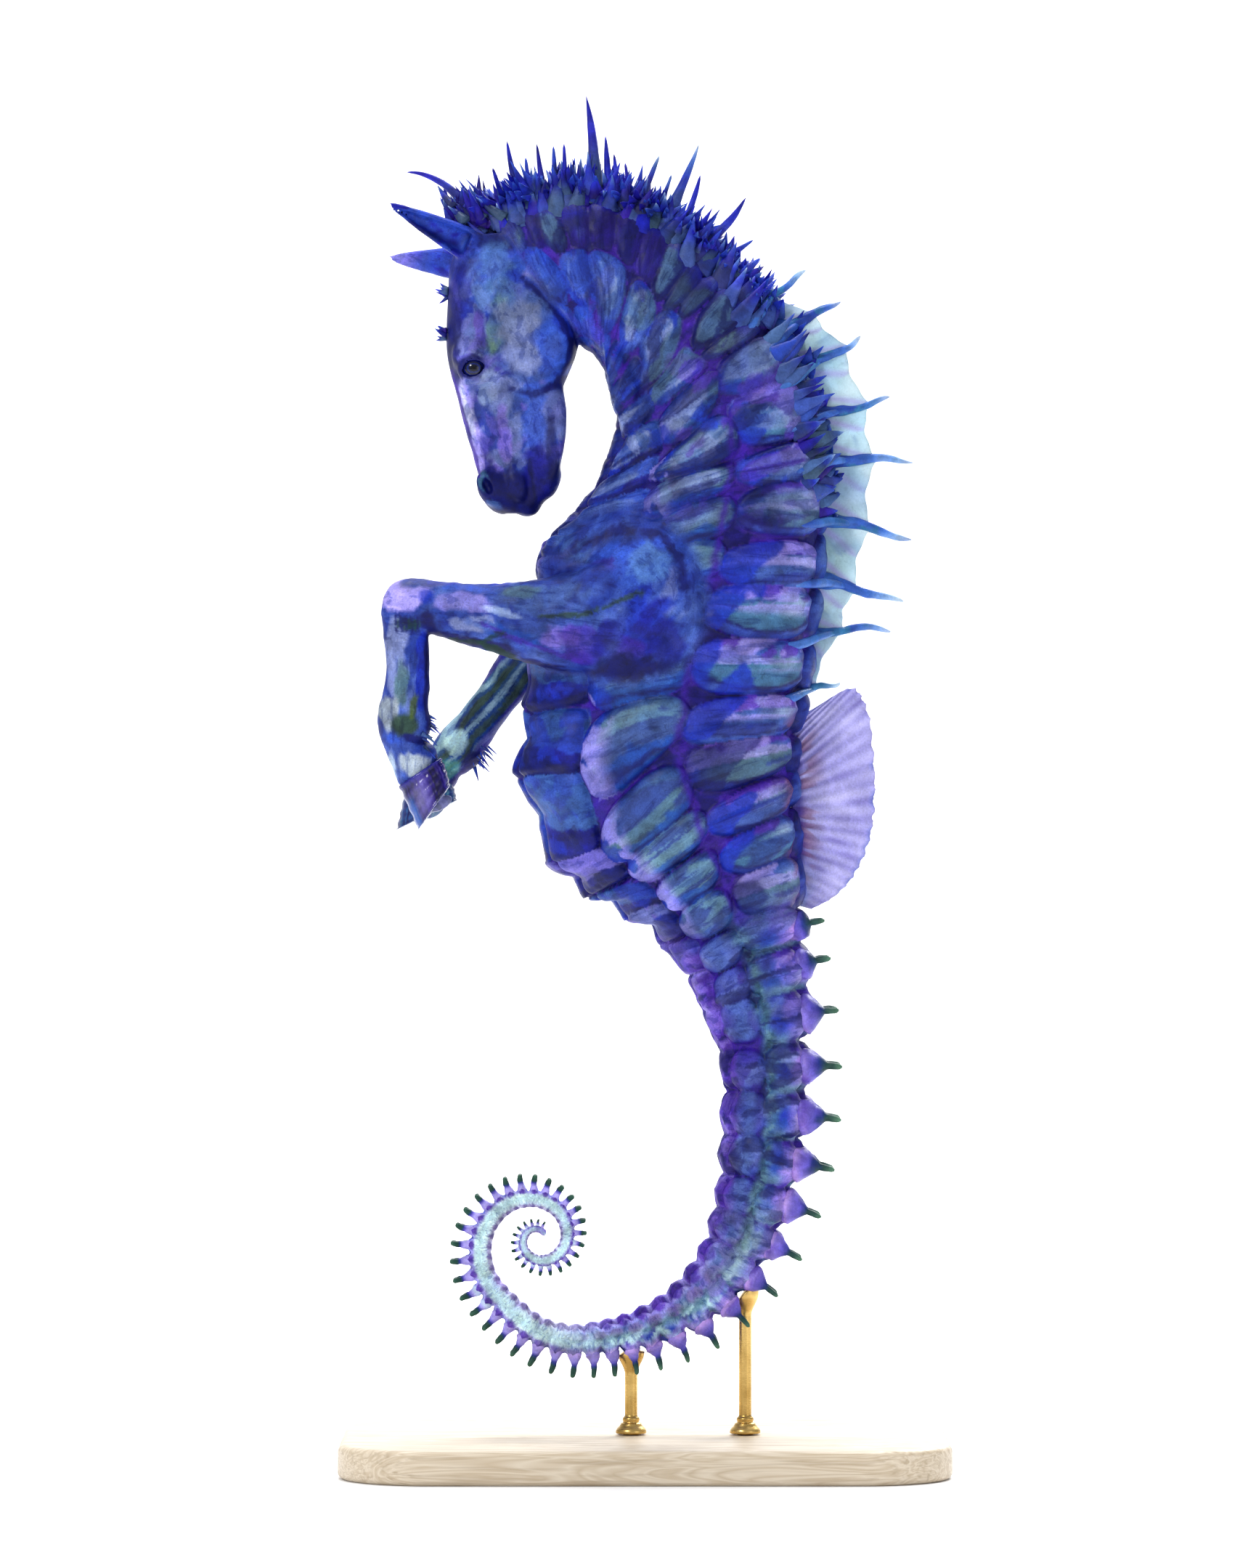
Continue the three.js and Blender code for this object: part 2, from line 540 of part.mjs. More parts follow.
// ---- Head, ears and eyes ------------------------------------------------------------------------
function headSolid(grow) {
  const rings = HEAD.map((_, at) =>
    ring(headLine(at), { squareness: SQUARENESS.head, grow, sides: SIDES.head }),
  );
  return union([loft(rings), ...Object.values(FACE).flatMap((item) => pair(item, grow))]);
}
const eyeBall = (side, grow) => lump({ at: EYE.at, size: Array(3).fill(EYE.radius) }, side, grow);

// An ear: a pointed leaf.
function earSolid({ root, tip }, grow = 0) {
  const { widths, depth, facing } = EAR_SECTION;
  const start = new THREE.Vector3(...root);
  const along = new THREE.Vector3(...tip).sub(start);
  const length = along.length();
  along.normalize();
  const upwards = new THREE.Vector3(...facing).addScaledVector(along, -along.z).normalize();
  const sideways = along.clone().cross(upwards).normalize();
  const rings = widths.map((wide, i) => {
    const centre = start.clone().addScaledVector(along, (length * i) / (widths.length - 1));
    return Array.from({ length: SIDES.ear }, (_, k) => {
      const angle = (2 * Math.PI * k) / SIDES.ear;
      return centre
        .clone()
        .addScaledVector(upwards, (wide + grow) * Math.cos(angle))
        .addScaledVector(sideways, (wide * depth + grow) * Math.sin(angle));
    });
  });
  return loft(rings);
}
const headGrown = headSolid(GAP);
const head = headSolid(0)
  .subtract(neckGrown)
  .subtract(union([-1, 1].map((side) => eyeBall(side, GAP))));
place("head", biggest(head), "skin");
for (const ear of EARS) {
  place(ear.name, biggest(earSolid(ear).subtract(headGrown).subtract(neckGrown)), "skin");
}
place("eye_left", eyeBall(-1, 0), "eye");
place("eye_right", eyeBall(1, 0), "eye");

// ---- Forelegs -----------------------------------------------------------------------------------
function limb(stations, grow = 0) {
  const curve = (pick) => new THREE.CatmullRomCurve3(stations.map(pick), false, "catmullrom", 0.5);
  const middle = curve((s) => new THREE.Vector3(...s.middle));
  const size = curve((s) => new THREE.Vector3(s.deep, s.wide, 0));
  const steps = (stations.length - 1) * 2;
  const rings = [];
  for (let i = 0; i <= steps; i++) {
    const u = i / steps;
    const [p, along, s] = [middle.getPoint(u), middle.getTangent(u), size.getPoint(u)];
    const outwards = new THREE.Vector3(-along.z, 0, along.x).normalize();
    const sideways = along.clone().cross(outwards).normalize();
    rings.push(
      Array.from({ length: SIDES.limb }, (_, k) => {
        const angle = (2 * Math.PI * k) / SIDES.limb;
        return p
          .clone()
          .addScaledVector(outwards, (s.x + grow) * Math.cos(angle))
          .addScaledVector(sideways, (s.y + grow) * Math.sin(angle));
      }),
    );
  }
  return loft(rings);
}
function hoofSolid(stations, y, grow = 0) {
  const form = { squareness: SQUARENESS.hoof, sides: SIDES.hoof, grow, y };
  const section = ({ front, back, wide }) => ({ belly: inPlane(front), back: inPlane(back), wide });
  return loft(stations.map((station) => ring(section(station), form)));
}
for (const [side, leg] of Object.entries({ left: LEFT_LEG, right: RIGHT_LEG })) {
  const cannonGrown = limb(leg.cannon, GAP);
  const hoofGrown = hoofSolid(leg.hoof, leg.hoofY, GAP);
  const forearm = limb(leg.forearm).subtract(trunkGrown).subtract(neckGrown).subtract(cannonGrown);
  place("forearm_" + side, biggest(forearm), "skin");
  place("cannon_" + side, limb(leg.cannon), "skin");
  place("pastern_" + side, biggest(limb(leg.pastern).subtract(cannonGrown).subtract(hoofGrown)), "skin");
  place("hoof_" + side, hoofSolid(leg.hoof, leg.hoofY), "hoof");
}

// ---- Mane, sail and dorsal fin ------------------------------------------------------------------
// A flat plate in the XZ plane from an outline, thick across Y.
function plate(outline, thick) {
  const shape = new THREE.Shape(outline.map(([x, z]) => new THREE.Vector2(x, z)));
  const geometry = new THREE.ExtrudeGeometry(shape, { depth: thick, bevelEnabled: false });
  geometry.rotateX(Math.PI / 2).translate(0, thick / 2, 0);
  return solid(geometry);
}
// Count points along the back between two station numbers, each moved outwards by height(share).
function alongBack(fromAt, toAt, count, height) {
  return Array.from({ length: count + 1 }, (_, i) => {
    const { belly, back } = bodyLine(fromAt + ((toAt - fromAt) * i) / count);
    const out = back.clone().sub(belly).normalize();
    const p = back.clone().addScaledVector(out, height(i / count, i));
    return [p.x, p.z];
  });
}
// The crest of the mane: a thick saw-edged ridge from the forelock to the foot of the neck.
function crestOutline() {
  const height = (share) => CREST.low + CREST.rise * Math.sin(Math.PI * Math.min(1, share * 1.15)) ** 0.5;
  const inner = alongBack(0, CREST.end, 10, () => -CREST.inset);
  const edge = alongBack(0, CREST.end, 20, (share, i) => height(share) * (i % 2 ? 1.35 : 0.65));
  return [...inner, ...edge.reverse()];
}
const crestSpines = CREST_SPINES.map((s, i) => flatSpike(s, (i % 3) - 1)); // leaning left, upright, right
const mane = union([plate(crestOutline(), CREST.thick), ...crestSpines]);
const earRoom = union(EARS.map((ear) => earSolid(ear, GAP)));
place("mane", biggest(mane.subtract(neckGrown).subtract(headGrown).subtract(earRoom)), "mane");

// The sail: a thin web between the spines of the back, its edge drawn in between them.
function sailOutline() {
  const reach = BACK_SPINES.map(({ root, tip }) => root.map((v, i) => v + (tip[i] - v) * SAIL.reach));
  const edge = [];
  reach.forEach((p, i) => {
    edge.push(p);
    const next = reach[i + 1];
    if (next) edge.push([(p[0] + next[0]) / 2 - SAIL.dip, (p[1] + next[1]) / 2]);
  });
  return [...alongBack(SAIL.from, SAIL.to, 10, () => -SAIL.inset), ...edge];
}
const sail = union([plate(sailOutline(), SAIL.thick), ...BACK_SPINES.map((s) => flatSpike(s, 0))]);
place("sail", biggest(sail.subtract(neckGrown).subtract(trunkGrown)), "sail");

// The dorsal fin: a thin fan behind the trunk with a finely notched edge.
function finOutline() {
  const outer = new THREE.CatmullRomCurve3(FIN_EDGE.map(inPlane), false, "catmullrom", 0.5);
  const edge = outer.getPoints(FIN.points).map((p, i) => {
    const notched = i > 5 && i < FIN.points - 2 && i % 2;
    return [p.x - (notched ? FIN.notch : 0), p.z];
  });
  return [...edge, ...FIN_ROOT];
}
const tailTop = bodyPiece(past(FIRST_TAIL_JOINT), FIRST_TAIL_JOINT + 3, GAP);
const dorsalFin = plate(finOutline(), FIN.thick).subtract(trunkGrown).subtract(tailTop);
place("dorsal_fin", biggest(dorsalFin), "fin");

// ---- Stand --------------------------------------------------------------------------------------
function roundedPlate(length, width, corner) {
  const shape = new THREE.Shape();
  const [x, y] = [length / 2, width / 2];
  shape.moveTo(-x + corner, -y);
  shape.lineTo(x - corner, -y);
  shape.absarc(x - corner, -y + corner, corner, -Math.PI / 2, 0, false);
  shape.lineTo(x, y - corner);
  shape.absarc(x - corner, y - corner, corner, 0, Math.PI / 2, false);
  shape.lineTo(-x + corner, y);
  shape.absarc(-x + corner, y - corner, corner, Math.PI / 2, Math.PI, false);
  shape.lineTo(-x, -y + corner);
  shape.absarc(-x + corner, -y + corner, corner, Math.PI, 1.5 * Math.PI, false);
  return shape;
}
const baseGeometry = new THREE.ExtrudeGeometry(
  roundedPlate(BASE.length - 2 * BASE.chamfer, BASE.width - 2 * BASE.chamfer, BASE.corner - BASE.chamfer),
  {
    depth: BASE.thick - 2 * BASE.chamfer,
    bevelEnabled: true,
    bevelThickness: BASE.chamfer,
    bevelSize: BASE.chamfer,
    bevelSegments: 1,
    curveSegments: 4,
  },
);
baseGeometry.translate(0, 0, BASE.chamfer);
place("stand_base", solid(baseGeometry), "wood");

// A rod turned with a foot and a flared saddle, its top cut to the tail that rests in it.
function rodSolid(x, top) {
  const profile = [
    [0, BASE.thick + GAP],
    [ROD.radius * 2.4, BASE.thick + GAP],
    [ROD.radius * 2.4, BASE.thick + 1.6],
    [ROD.radius, BASE.thick + 2.6],
    [ROD.radius, top - ROD.saddleHeight],
    [ROD.saddle, top],
    [ROD.saddle, top + 3],
    [0, top + 3],
  ].map(([r, z]) => new THREE.Vector2(r, z));
  const geometry = new THREE.LatheGeometry(profile, ROD.sides).rotateX(Math.PI / 2).translate(x, 0, 0);
  return solid(geometry);
}
// The tail's underside above a rod.
function undersideAt(x) {
  let low = Infinity;
  for (let at = FIRST_TAIL_JOINT; at < coilStart; at += 0.02) {
    const { back } = bodyLine(at);
    if (Math.abs(back.x - x) < 0.6) low = Math.min(low, back.z);
  }
  return low;
}
["front", "rear"].forEach((where, i) => {
  const rod = rodSolid(RODS[i], undersideAt(RODS[i]) - 0.6);
  place("stand_rod_" + where, biggest(rod.subtract(union(tailRoom))), "brass");
});

export default group;
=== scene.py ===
"""A hippocamp on a display stand: one skin over the flesh, with mane, spines, web, fin, hooves and eyes.

Shapes are worked out in millimetres in the frame of the solids, +Z up, the head towards -X and the left
side at -Y, and become metres as each mesh is made.
"""

import itertools
import math
import random

import bpy
import numpy as np
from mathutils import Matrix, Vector


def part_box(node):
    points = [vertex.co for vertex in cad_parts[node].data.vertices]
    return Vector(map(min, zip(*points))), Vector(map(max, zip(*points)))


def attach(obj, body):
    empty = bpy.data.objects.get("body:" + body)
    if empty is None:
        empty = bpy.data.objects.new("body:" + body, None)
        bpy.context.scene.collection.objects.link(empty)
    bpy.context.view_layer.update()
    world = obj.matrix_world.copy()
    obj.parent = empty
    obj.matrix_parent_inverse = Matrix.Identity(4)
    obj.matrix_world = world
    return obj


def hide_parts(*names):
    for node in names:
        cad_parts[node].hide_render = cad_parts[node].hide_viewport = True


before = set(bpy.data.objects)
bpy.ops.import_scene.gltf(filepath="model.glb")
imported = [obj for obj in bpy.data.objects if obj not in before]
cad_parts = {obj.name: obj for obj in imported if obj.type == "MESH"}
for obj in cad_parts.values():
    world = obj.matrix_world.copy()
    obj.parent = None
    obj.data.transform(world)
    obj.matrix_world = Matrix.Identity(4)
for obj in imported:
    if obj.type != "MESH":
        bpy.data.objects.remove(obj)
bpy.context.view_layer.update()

MM = 0.001
SKIN_TRIANGLES = 380000
BODY_SQUARENESS = HOOF_SQUARENESS = 2.3  # 2 is an ellipse
HEAD_SQUARENESS = 2.35
BODY_KEEL = 0.28  # share by which sections narrow at the belly
SHOULDER = (-5, 204)

# ---- Measures of the body, the same stations as the solids ----
# Trunk: the belly side, the back side and half the width of each joint between two rings of plates.
TRUNK = [
    ((-17.5, 266), (-36, 293.5), 8.4),
    ((-14.6, 262.8), (-25, 297), 8.8),
    ((-12.2, 260.8), (-13, 297.6), 9.2),
    ((-9.6, 257.8), (0, 293.8), 9.8),
    ((-7.2, 253.6), (12, 286), 10.6),
    ((-6.2, 248.6), (22, 277.6), 11.6),
    ((-7, 243), (30.5, 267.6), 12.8),
    ((-8.8, 237), (37, 256), 14.2),
    ((-11.4, 230.5), (41, 243), 16),
    ((-16.5, 224), (42.4, 230), 17.8),
    ((-21.2, 217), (42.4, 217.5), 19.4),
    ((-25, 208.5), (41.5, 206), 20.6),
    ((-27, 195), (40, 193.5), 21.8),
    ((-27.6, 179), (38.4, 181.5), 22.6),
    ((-29.6, 163), (36.6, 172.5), 22.8),
    ((-21.8, 142.5), (36, 164), 22),
    ((-13.4, 134.4), (36, 155), 20),
    ((-4, 129.6), (36.7, 144), 17.6),
    ((4.5, 122.5), (37.5, 131.5), 15.2),
]
# Tail down to the coil: the middle, half the depth and half the width.
TAIL = [
    ((24.2, 117.5), 14.2, 13),
    ((26.4, 108.8), 12.7, 11.6),
    ((28, 99.8), 10.9, 10.3),
    ((28.4, 89.3), 10, 9.4),
    ((27.8, 77.5), 9.9, 9),
    ((26.2, 66), 9.1, 8.4),
    ((23, 55.2), 8.1, 7.5),
    ((18.6, 47), 7.2, 6.7),
    ((13, 40.4), 6.4, 5.9),
    ((6.5, 35.7), 5.5, 5.1),
    ((-1, 32.6), 4.7, 4.4),
    ((-9, 30.8), 4, 3.9),
    ((-17.5, 30.2), 3.6, 3.5),
    ((-25.5, 32.6), 3.4, 3.3),
]
COIL_CENTRE = (-25, 53.7)
COIL_RADIUS = 16.9
COIL_START = -118  # degrees
COIL_SWEEP = 552
COIL_TIGHTENING = 0.214  # rate at which the radius shrinks, per radian
COIL_THICK = 3.2
COIL_THINNING = 0.144  # the same for the thickness
COIL_STEP = 24
# Head: the front of the face, the jaw side and half the width, from the poll to the lips.
HEAD = [
    ((-43.4, 287.5), (-27, 290), 6.4),
    ((-45.6, 281), (-22, 281), 8.2),
    ((-46.2, 272.5), (-18.2, 271), 9),
    ((-46.4, 264), (-16, 262.5), 9),
    ((-45.4, 257.8), (-18, 255.9), 8.6),
    ((-43, 251.5), (-20, 251.4), 7.2),
    ((-41.4, 245), (-20.6, 246), 5.9),
    ((-39.9, 239), (-21.3, 240.6), 5),
    ((-38.9, 233.5), (-20.6, 236.4), 4.9),
    ((-38.5, 230), (-19.6, 232.6), 5),
    ((-37.6, 227.4), (-21.2, 229), 4.7),
    ((-35.2, 225.3), (-24, 225.8), 4),
    ((-32.6, 224), (-26.4, 223.8), 2.6),
]
# Forelegs: x, y, z and radius in the leg's own plane at each station. The left leg is at -Y.
LEG_FLATNESS = 1.24  # depth of a leg over its width
LEFT_LEG = [
    (-2, -12.4, 203, 13),
    (-8, -14, 199.5, 12.6),
    (-16, -15, 198, 11.6),
    (-25, -15.4, 197.8, 9.8),
    (-35, -15.2, 199, 8),
    (-44, -14.8, 200.4, 6.6),
    (-50.4, -14.6, 201.4, 6.2),
    (-54.6, -14.5, 201.2, 6.3),
    (-55.6, -14.5, 196.6, 5.4),
    (-55.4, -14.4, 191, 4.9),
    (-55.4, -14.3, 185.5, 4.8),
    (-56, -14.2, 180, 5.2),
    (-56.3, -14.1, 175.6, 6),
    (-55.8, -13.9, 170.4, 5),
    (-54.6, -13.7, 166.6, 4.7),
    (-52.9, -13.4, 163.6, 5.2),
]
RIGHT_LEG = [
    (2, 12.4, 202, 12.4),
    (-6, 14.6, 198, 11),
    (-14, 15.2, 194.6, 9),
    (-21.6, 15, 192.4, 7.2),
    (-26.6, 14.6, 191.4, 6.4),
    (-29.6, 14.2, 187.6, 5.8),
    (-33.4, 13.6, 182.4, 5),
    (-37.8, 12.7, 176.6, 4.9),
    (-41.6, 11.9, 171.6, 5.4),
    (-44, 11.4, 168.6, 5.8),
    (-46.8, 10.9, 165.8, 4.8),
    (-49.2, 10.5, 163.4, 4.6),
    (-51, 10.1, 160.4, 5.2),
]
# A tail ring's length is this share of half the tail's depth, but those below the vent start short.
RING_SHARE, FIRST_RING, RING_GROWTH = 1.06, 8, 1.6
EYE_RADIUS = 2.7
EARS = {  # root and tip
    "left": ((-37.6, -4.6, 284.4), (-59.6, -9.4, 295.4)),
    "right": ((-40, 4.8, 282.2), (-60.2, 10.6, 284.2)),
}


def rotated(x, z, degrees):
    """x and z turned about Y."""
    c, s = math.cos(math.radians(degrees)), math.sin(math.radians(degrees))
    return c * x + s * z, c * z - s * x


def middle_of(node):
    low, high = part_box(node)
    return np.array((low + high) / 2) / MM


# ---- Lines of sections ----
def catmull_rom(rows, at):
    """Rows smoothly interpolated at station numbers at."""
    last = len(rows) - 1
    at = np.clip(at, 0, last)
    i = np.minimum(at.astype(int), last - 1)
    u = (at - i)[..., None]
    p0, p1, p2, p3 = (rows[np.clip(i + k, 0, last)] for k in (-1, 0, 1, 2))
    square, cube = 2 * p0 - 5 * p1 + 4 * p2 - p3, 3 * p1 - p0 - 3 * p2 + p3
    return 0.5 * (2 * p1 + (p2 - p0) * u + square * u**2 + cube * u**3)


class Line:
    """A line of sections in the XZ plane, each from a belly point to a back point, with a half width."""

    FINE = 64  # samples between two stations
    COARSE = 8  # fine samples to a coarse one
    CHUNK = 20000

    def __init__(self, stations):
        self.count = len(stations) - 1
        rows = np.array([[*belly, *back, wide] for belly, back, wide in stations], float)
        self.rows = catmull_rom(rows, np.linspace(0, self.count, self.count * self.FINE + 1))

    def section(self, at):
        """Middle, half span from middle to back, and half width at station numbers."""
        place = np.clip(np.asarray(at, float) * self.FINE, 0, len(self.rows) - 1.001)
        i = place.astype(int)
        u = (place - i)[..., None]
        row = self.rows[i] * (1 - u) + self.rows[i + 1] * u
        return (row[..., :2] + row[..., 2:4]) / 2, (row[..., 2:4] - row[..., :2]) / 2, row[..., 4]

    def _gap(self, x, z, index):
        """Squared distance of points from the sections of an index."""
        row = self.rows[index]
        mx, mz = (row[..., 0] + row[..., 2]) / 2, (row[..., 1] + row[..., 3]) / 2
        rx, rz = (row[..., 2] - row[..., 0]) / 2, (row[..., 3] - row[..., 1]) / 2
        t = np.clip(((x - mx) * rx + (z - mz) * rz) / (rx * rx + rz * rz), -1, 1)
        return (x - mx - t * rx) ** 2 + (z - mz - t * rz) ** 2

    def _lean(self, x, z, index):
        """How far points are ahead of the sections of an index."""
        row = self.rows[index]
        rx, rz = (row[:, 2] - row[:, 0]) / 2, (row[:, 3] - row[:, 1]) / 2
        ahead = (x - (row[:, 0] + row[:, 2]) / 2) * rz - (z - (row[:, 1] + row[:, 3]) / 2) * rx
        return ahead / np.hypot(rx, rz)

    def locate(self, x, z):
        """Station, place across (-1 belly, 1 back), distance off the ends, half depth and half width."""
        shape = np.broadcast_shapes(np.shape(x), np.shape(z))
        x, z = (np.broadcast_to(v, shape).ravel() for v in (x, z))
        last = len(self.rows) - 1
        coarse = np.arange(0, last + 1, self.COARSE)
        near = np.zeros(len(x), int)
        for start in range(0, len(x), self.CHUNK):
            part = slice(start, start + self.CHUNK)
            near[part] = self._gap(x[part, None], z[part, None], coarse).argmin(1)
        near *= self.COARSE
        steps = np.arange(-self.COARSE, self.COARSE + 1)
        around = np.clip(near[:, None] + steps, 0, last)
        nearest = self._gap(x[:, None], z[:, None], around).argmin(1)
        fine = np.take_along_axis(around, nearest[:, None], 1)[:, 0]
        here = self._lean(x, z, fine)
        ahead = self._lean(x, z, np.minimum(fine + 1, last))
        other = np.clip(fine + np.where(ahead * here < 0, 1, -1), 0, last)
        there = self._lean(x, z, other)
        share = np.where(here * there < 0, here / np.where(here == there, 1, here - there), 0)
        at = (fine + share * (other - fine)) / self.FINE
        middle, span, wide = self.section(at)
        deep = np.hypot(span[:, 0], span[:, 1])
        qx, qz = x - middle[:, 0], z - middle[:, 1]
        t = (qx * span[:, 0] + qz * span[:, 1]) / deep**2
        off = np.hypot(qx - t * span[:, 0], qz - t * span[:, 1])
        end = (at < 1 / self.FINE) | (at > self.count - 1 / self.FINE)
        off = np.where(end, off, 0)
        return tuple(v.reshape(shape) for v in (at, t, off, deep, wide))


def squared_off(stations, before):
    """Sections square to a line of middles."""
    result = []
    for i, (middle, deep, wide) in enumerate(stations):
        a = np.array(stations[i - 1][0] if i else before, float)
        b = np.array(stations[min(i + 1, len(stations) - 1)][0], float)
        along = (b - a) / np.linalg.norm(b - a)
        out = np.array([-along[1], along[0]]) * deep
        result.append((tuple(np.array(middle) - out), tuple(np.array(middle) + out), wide))
    return result


def coil_stations():
    """The coil: a spiral that tightens as it turns clockwise, and thins towards the tip."""
    stations = []
    for turned in range(0, COIL_SWEEP + 1, COIL_STEP):
        angle, radians = math.radians(COIL_START - turned), math.radians(turned)
        radius = COIL_RADIUS * math.exp(-COIL_TIGHTENING * radians)
        deep = COIL_THICK * math.exp(-COIL_THINNING * radians)
        middle = (COIL_CENTRE[0] + radius * math.cos(angle), COIL_CENTRE[1] + radius * math.sin(angle))
        stations.append((middle, deep, deep * 0.97))
    return stations


vent = tuple((np.array(TRUNK[-1][0]) + TRUNK[-1][1]) / 2)
BODY = Line(TRUNK + squared_off(TAIL + coil_stations(), vent))
SKULL = Line(HEAD)
TAIL_START = len(TRUNK) - 1
COIL_FROM = TAIL_START + len(TAIL) + 1


def ring_joints():
    """Stations of the joints between rings: the trunk's own, then closer and closer down the tail."""
    joints = list(range(len(TRUNK)))
    at, walked, last = float(TAIL_START), 0.0, BODY.section(TAIL_START)[0]
    while at < BODY.count:
        at += 0.02
        here, span, _ = BODY.section(at)
        walked += np.linalg.norm(here - last)
        last = here
        longest = FIRST_RING + RING_GROWTH * (len(joints) - len(TRUNK))
        if walked >= min(RING_SHARE * np.linalg.norm(span), longest):
            joints.append(at)
            walked = 0.0
    return np.array(joints)


JOINTS = ring_joints()


# ---- Signed distances: p is x, y and z, as arrays that broadcast ----
def ellipsoid(p, centre, radii, tilt=0.0):
    """tilt turns it in the XZ plane, its +X end up."""
    x, y, z = (v - c for v, c in zip(p, centre))
    x, z = rotated(x, z, tilt)
    scaled = [v / r for v, r in zip((x, y, z), radii)]
    k0 = np.sqrt(sum(v * v for v in scaled)) + 1e-6
    k1 = np.sqrt(sum((v / r) ** 2 for v, r in zip(scaled, radii))) + 1e-6
    return k0 * (k0 - 1) / k1


def capsule(p, a, b, radius_a, radius_b):
    """A round bar from a to b, tapering from one radius to the other."""
    ab = np.subtract(b, a)
    t = sum((v - c) * d for v, c, d in zip(p, a, ab)) / (ab @ ab)
    t = np.clip(t, 0, 1)
    away = np.sqrt(sum((v - c - t * d) ** 2 for v, c, d in zip(p, a, ab)))
    return away - (radius_a + (radius_b - radius_a) * t)


def join(f, g, blend):
    """The union of two shapes with a fillet."""
    h = np.clip(0.5 + 0.5 * (g - f) / blend, 0, 1)
    return g + (f - g) * h - blend * h * (1 - h)


def carve(f, g, blend):
    """f without g, with a rounded lip."""
    return -join(-f, g, blend)


def tube(line, p, squareness, keel=0.0):
    """The solid through a line's sections. keel narrows the belly side."""
    x, y, z = p
    _, t, off, deep, wide = line.locate(x, z)
    wide = wide * (1 - keel * np.clip(-t, 0, 1) ** 1.5)
    n = squareness
    g = (np.abs(t) ** n + np.abs(y / wide) ** n + 1e-9) ** (1 / n)
    r = np.sqrt((t * deep) ** 2 + y * y + 1e-9)
    f = r - r / g
    return np.where(off > 0, np.hypot(np.maximum(f, 0), off), f)


def body_tube(p):
    return tube(BODY, p, BODY_SQUARENESS, BODY_KEEL)


def limb(p, stations):
    """A leg through its stations, flattened across."""
    rows = np.array(stations, float)
    rows = catmull_rom(rows, np.linspace(0, len(rows) - 1, 3 * len(rows) - 2))
    rows[:, 1] *= LEG_FLATNESS
    squashed = (p[0], p[1] * LEG_FLATNESS, p[2])
    f = None
    for a, b in zip(rows, rows[1:]):
        g = capsule(squashed, a[:3], b[:3], a[3], b[3])
        f = g if f is None else np.minimum(f, g)
    return f


def with_lumps(f, p, lumps):
    """A shape with lumps joined on, each a centre, radii, tilt and blend."""
    for centre, radii, tilt, blend in lumps:
        f = join(f, ellipsoid(p, centre, radii, tilt), blend)
    return f


def body_shape(p):
    f = body_tube(p)
    tip = BODY.section(BODY.count)[0]
    f = join(f, ellipsoid(p, (tip[0], 0, tip[1]), (0.9, 0.8, 0.9)), 0.4)
    for side in (-1, 1):
        f = with_lumps(f, p, [
            ((-1, side * 12.6, 204), (12, 8.8, 14.5), -28, 4),  # shoulder
            ((-16.5, side * 6.5, 212), (8, 7.5, 9.5), -24, 5),  # breast
            ((-4, side * 7.2, 250), (3.6, 4.6, 13), 18, 4),  # throat muscles
            ((-11.5, side * 6.2, 269), (3.6, 3.6, 6.4), 22, 2.4),
        ])
    return f


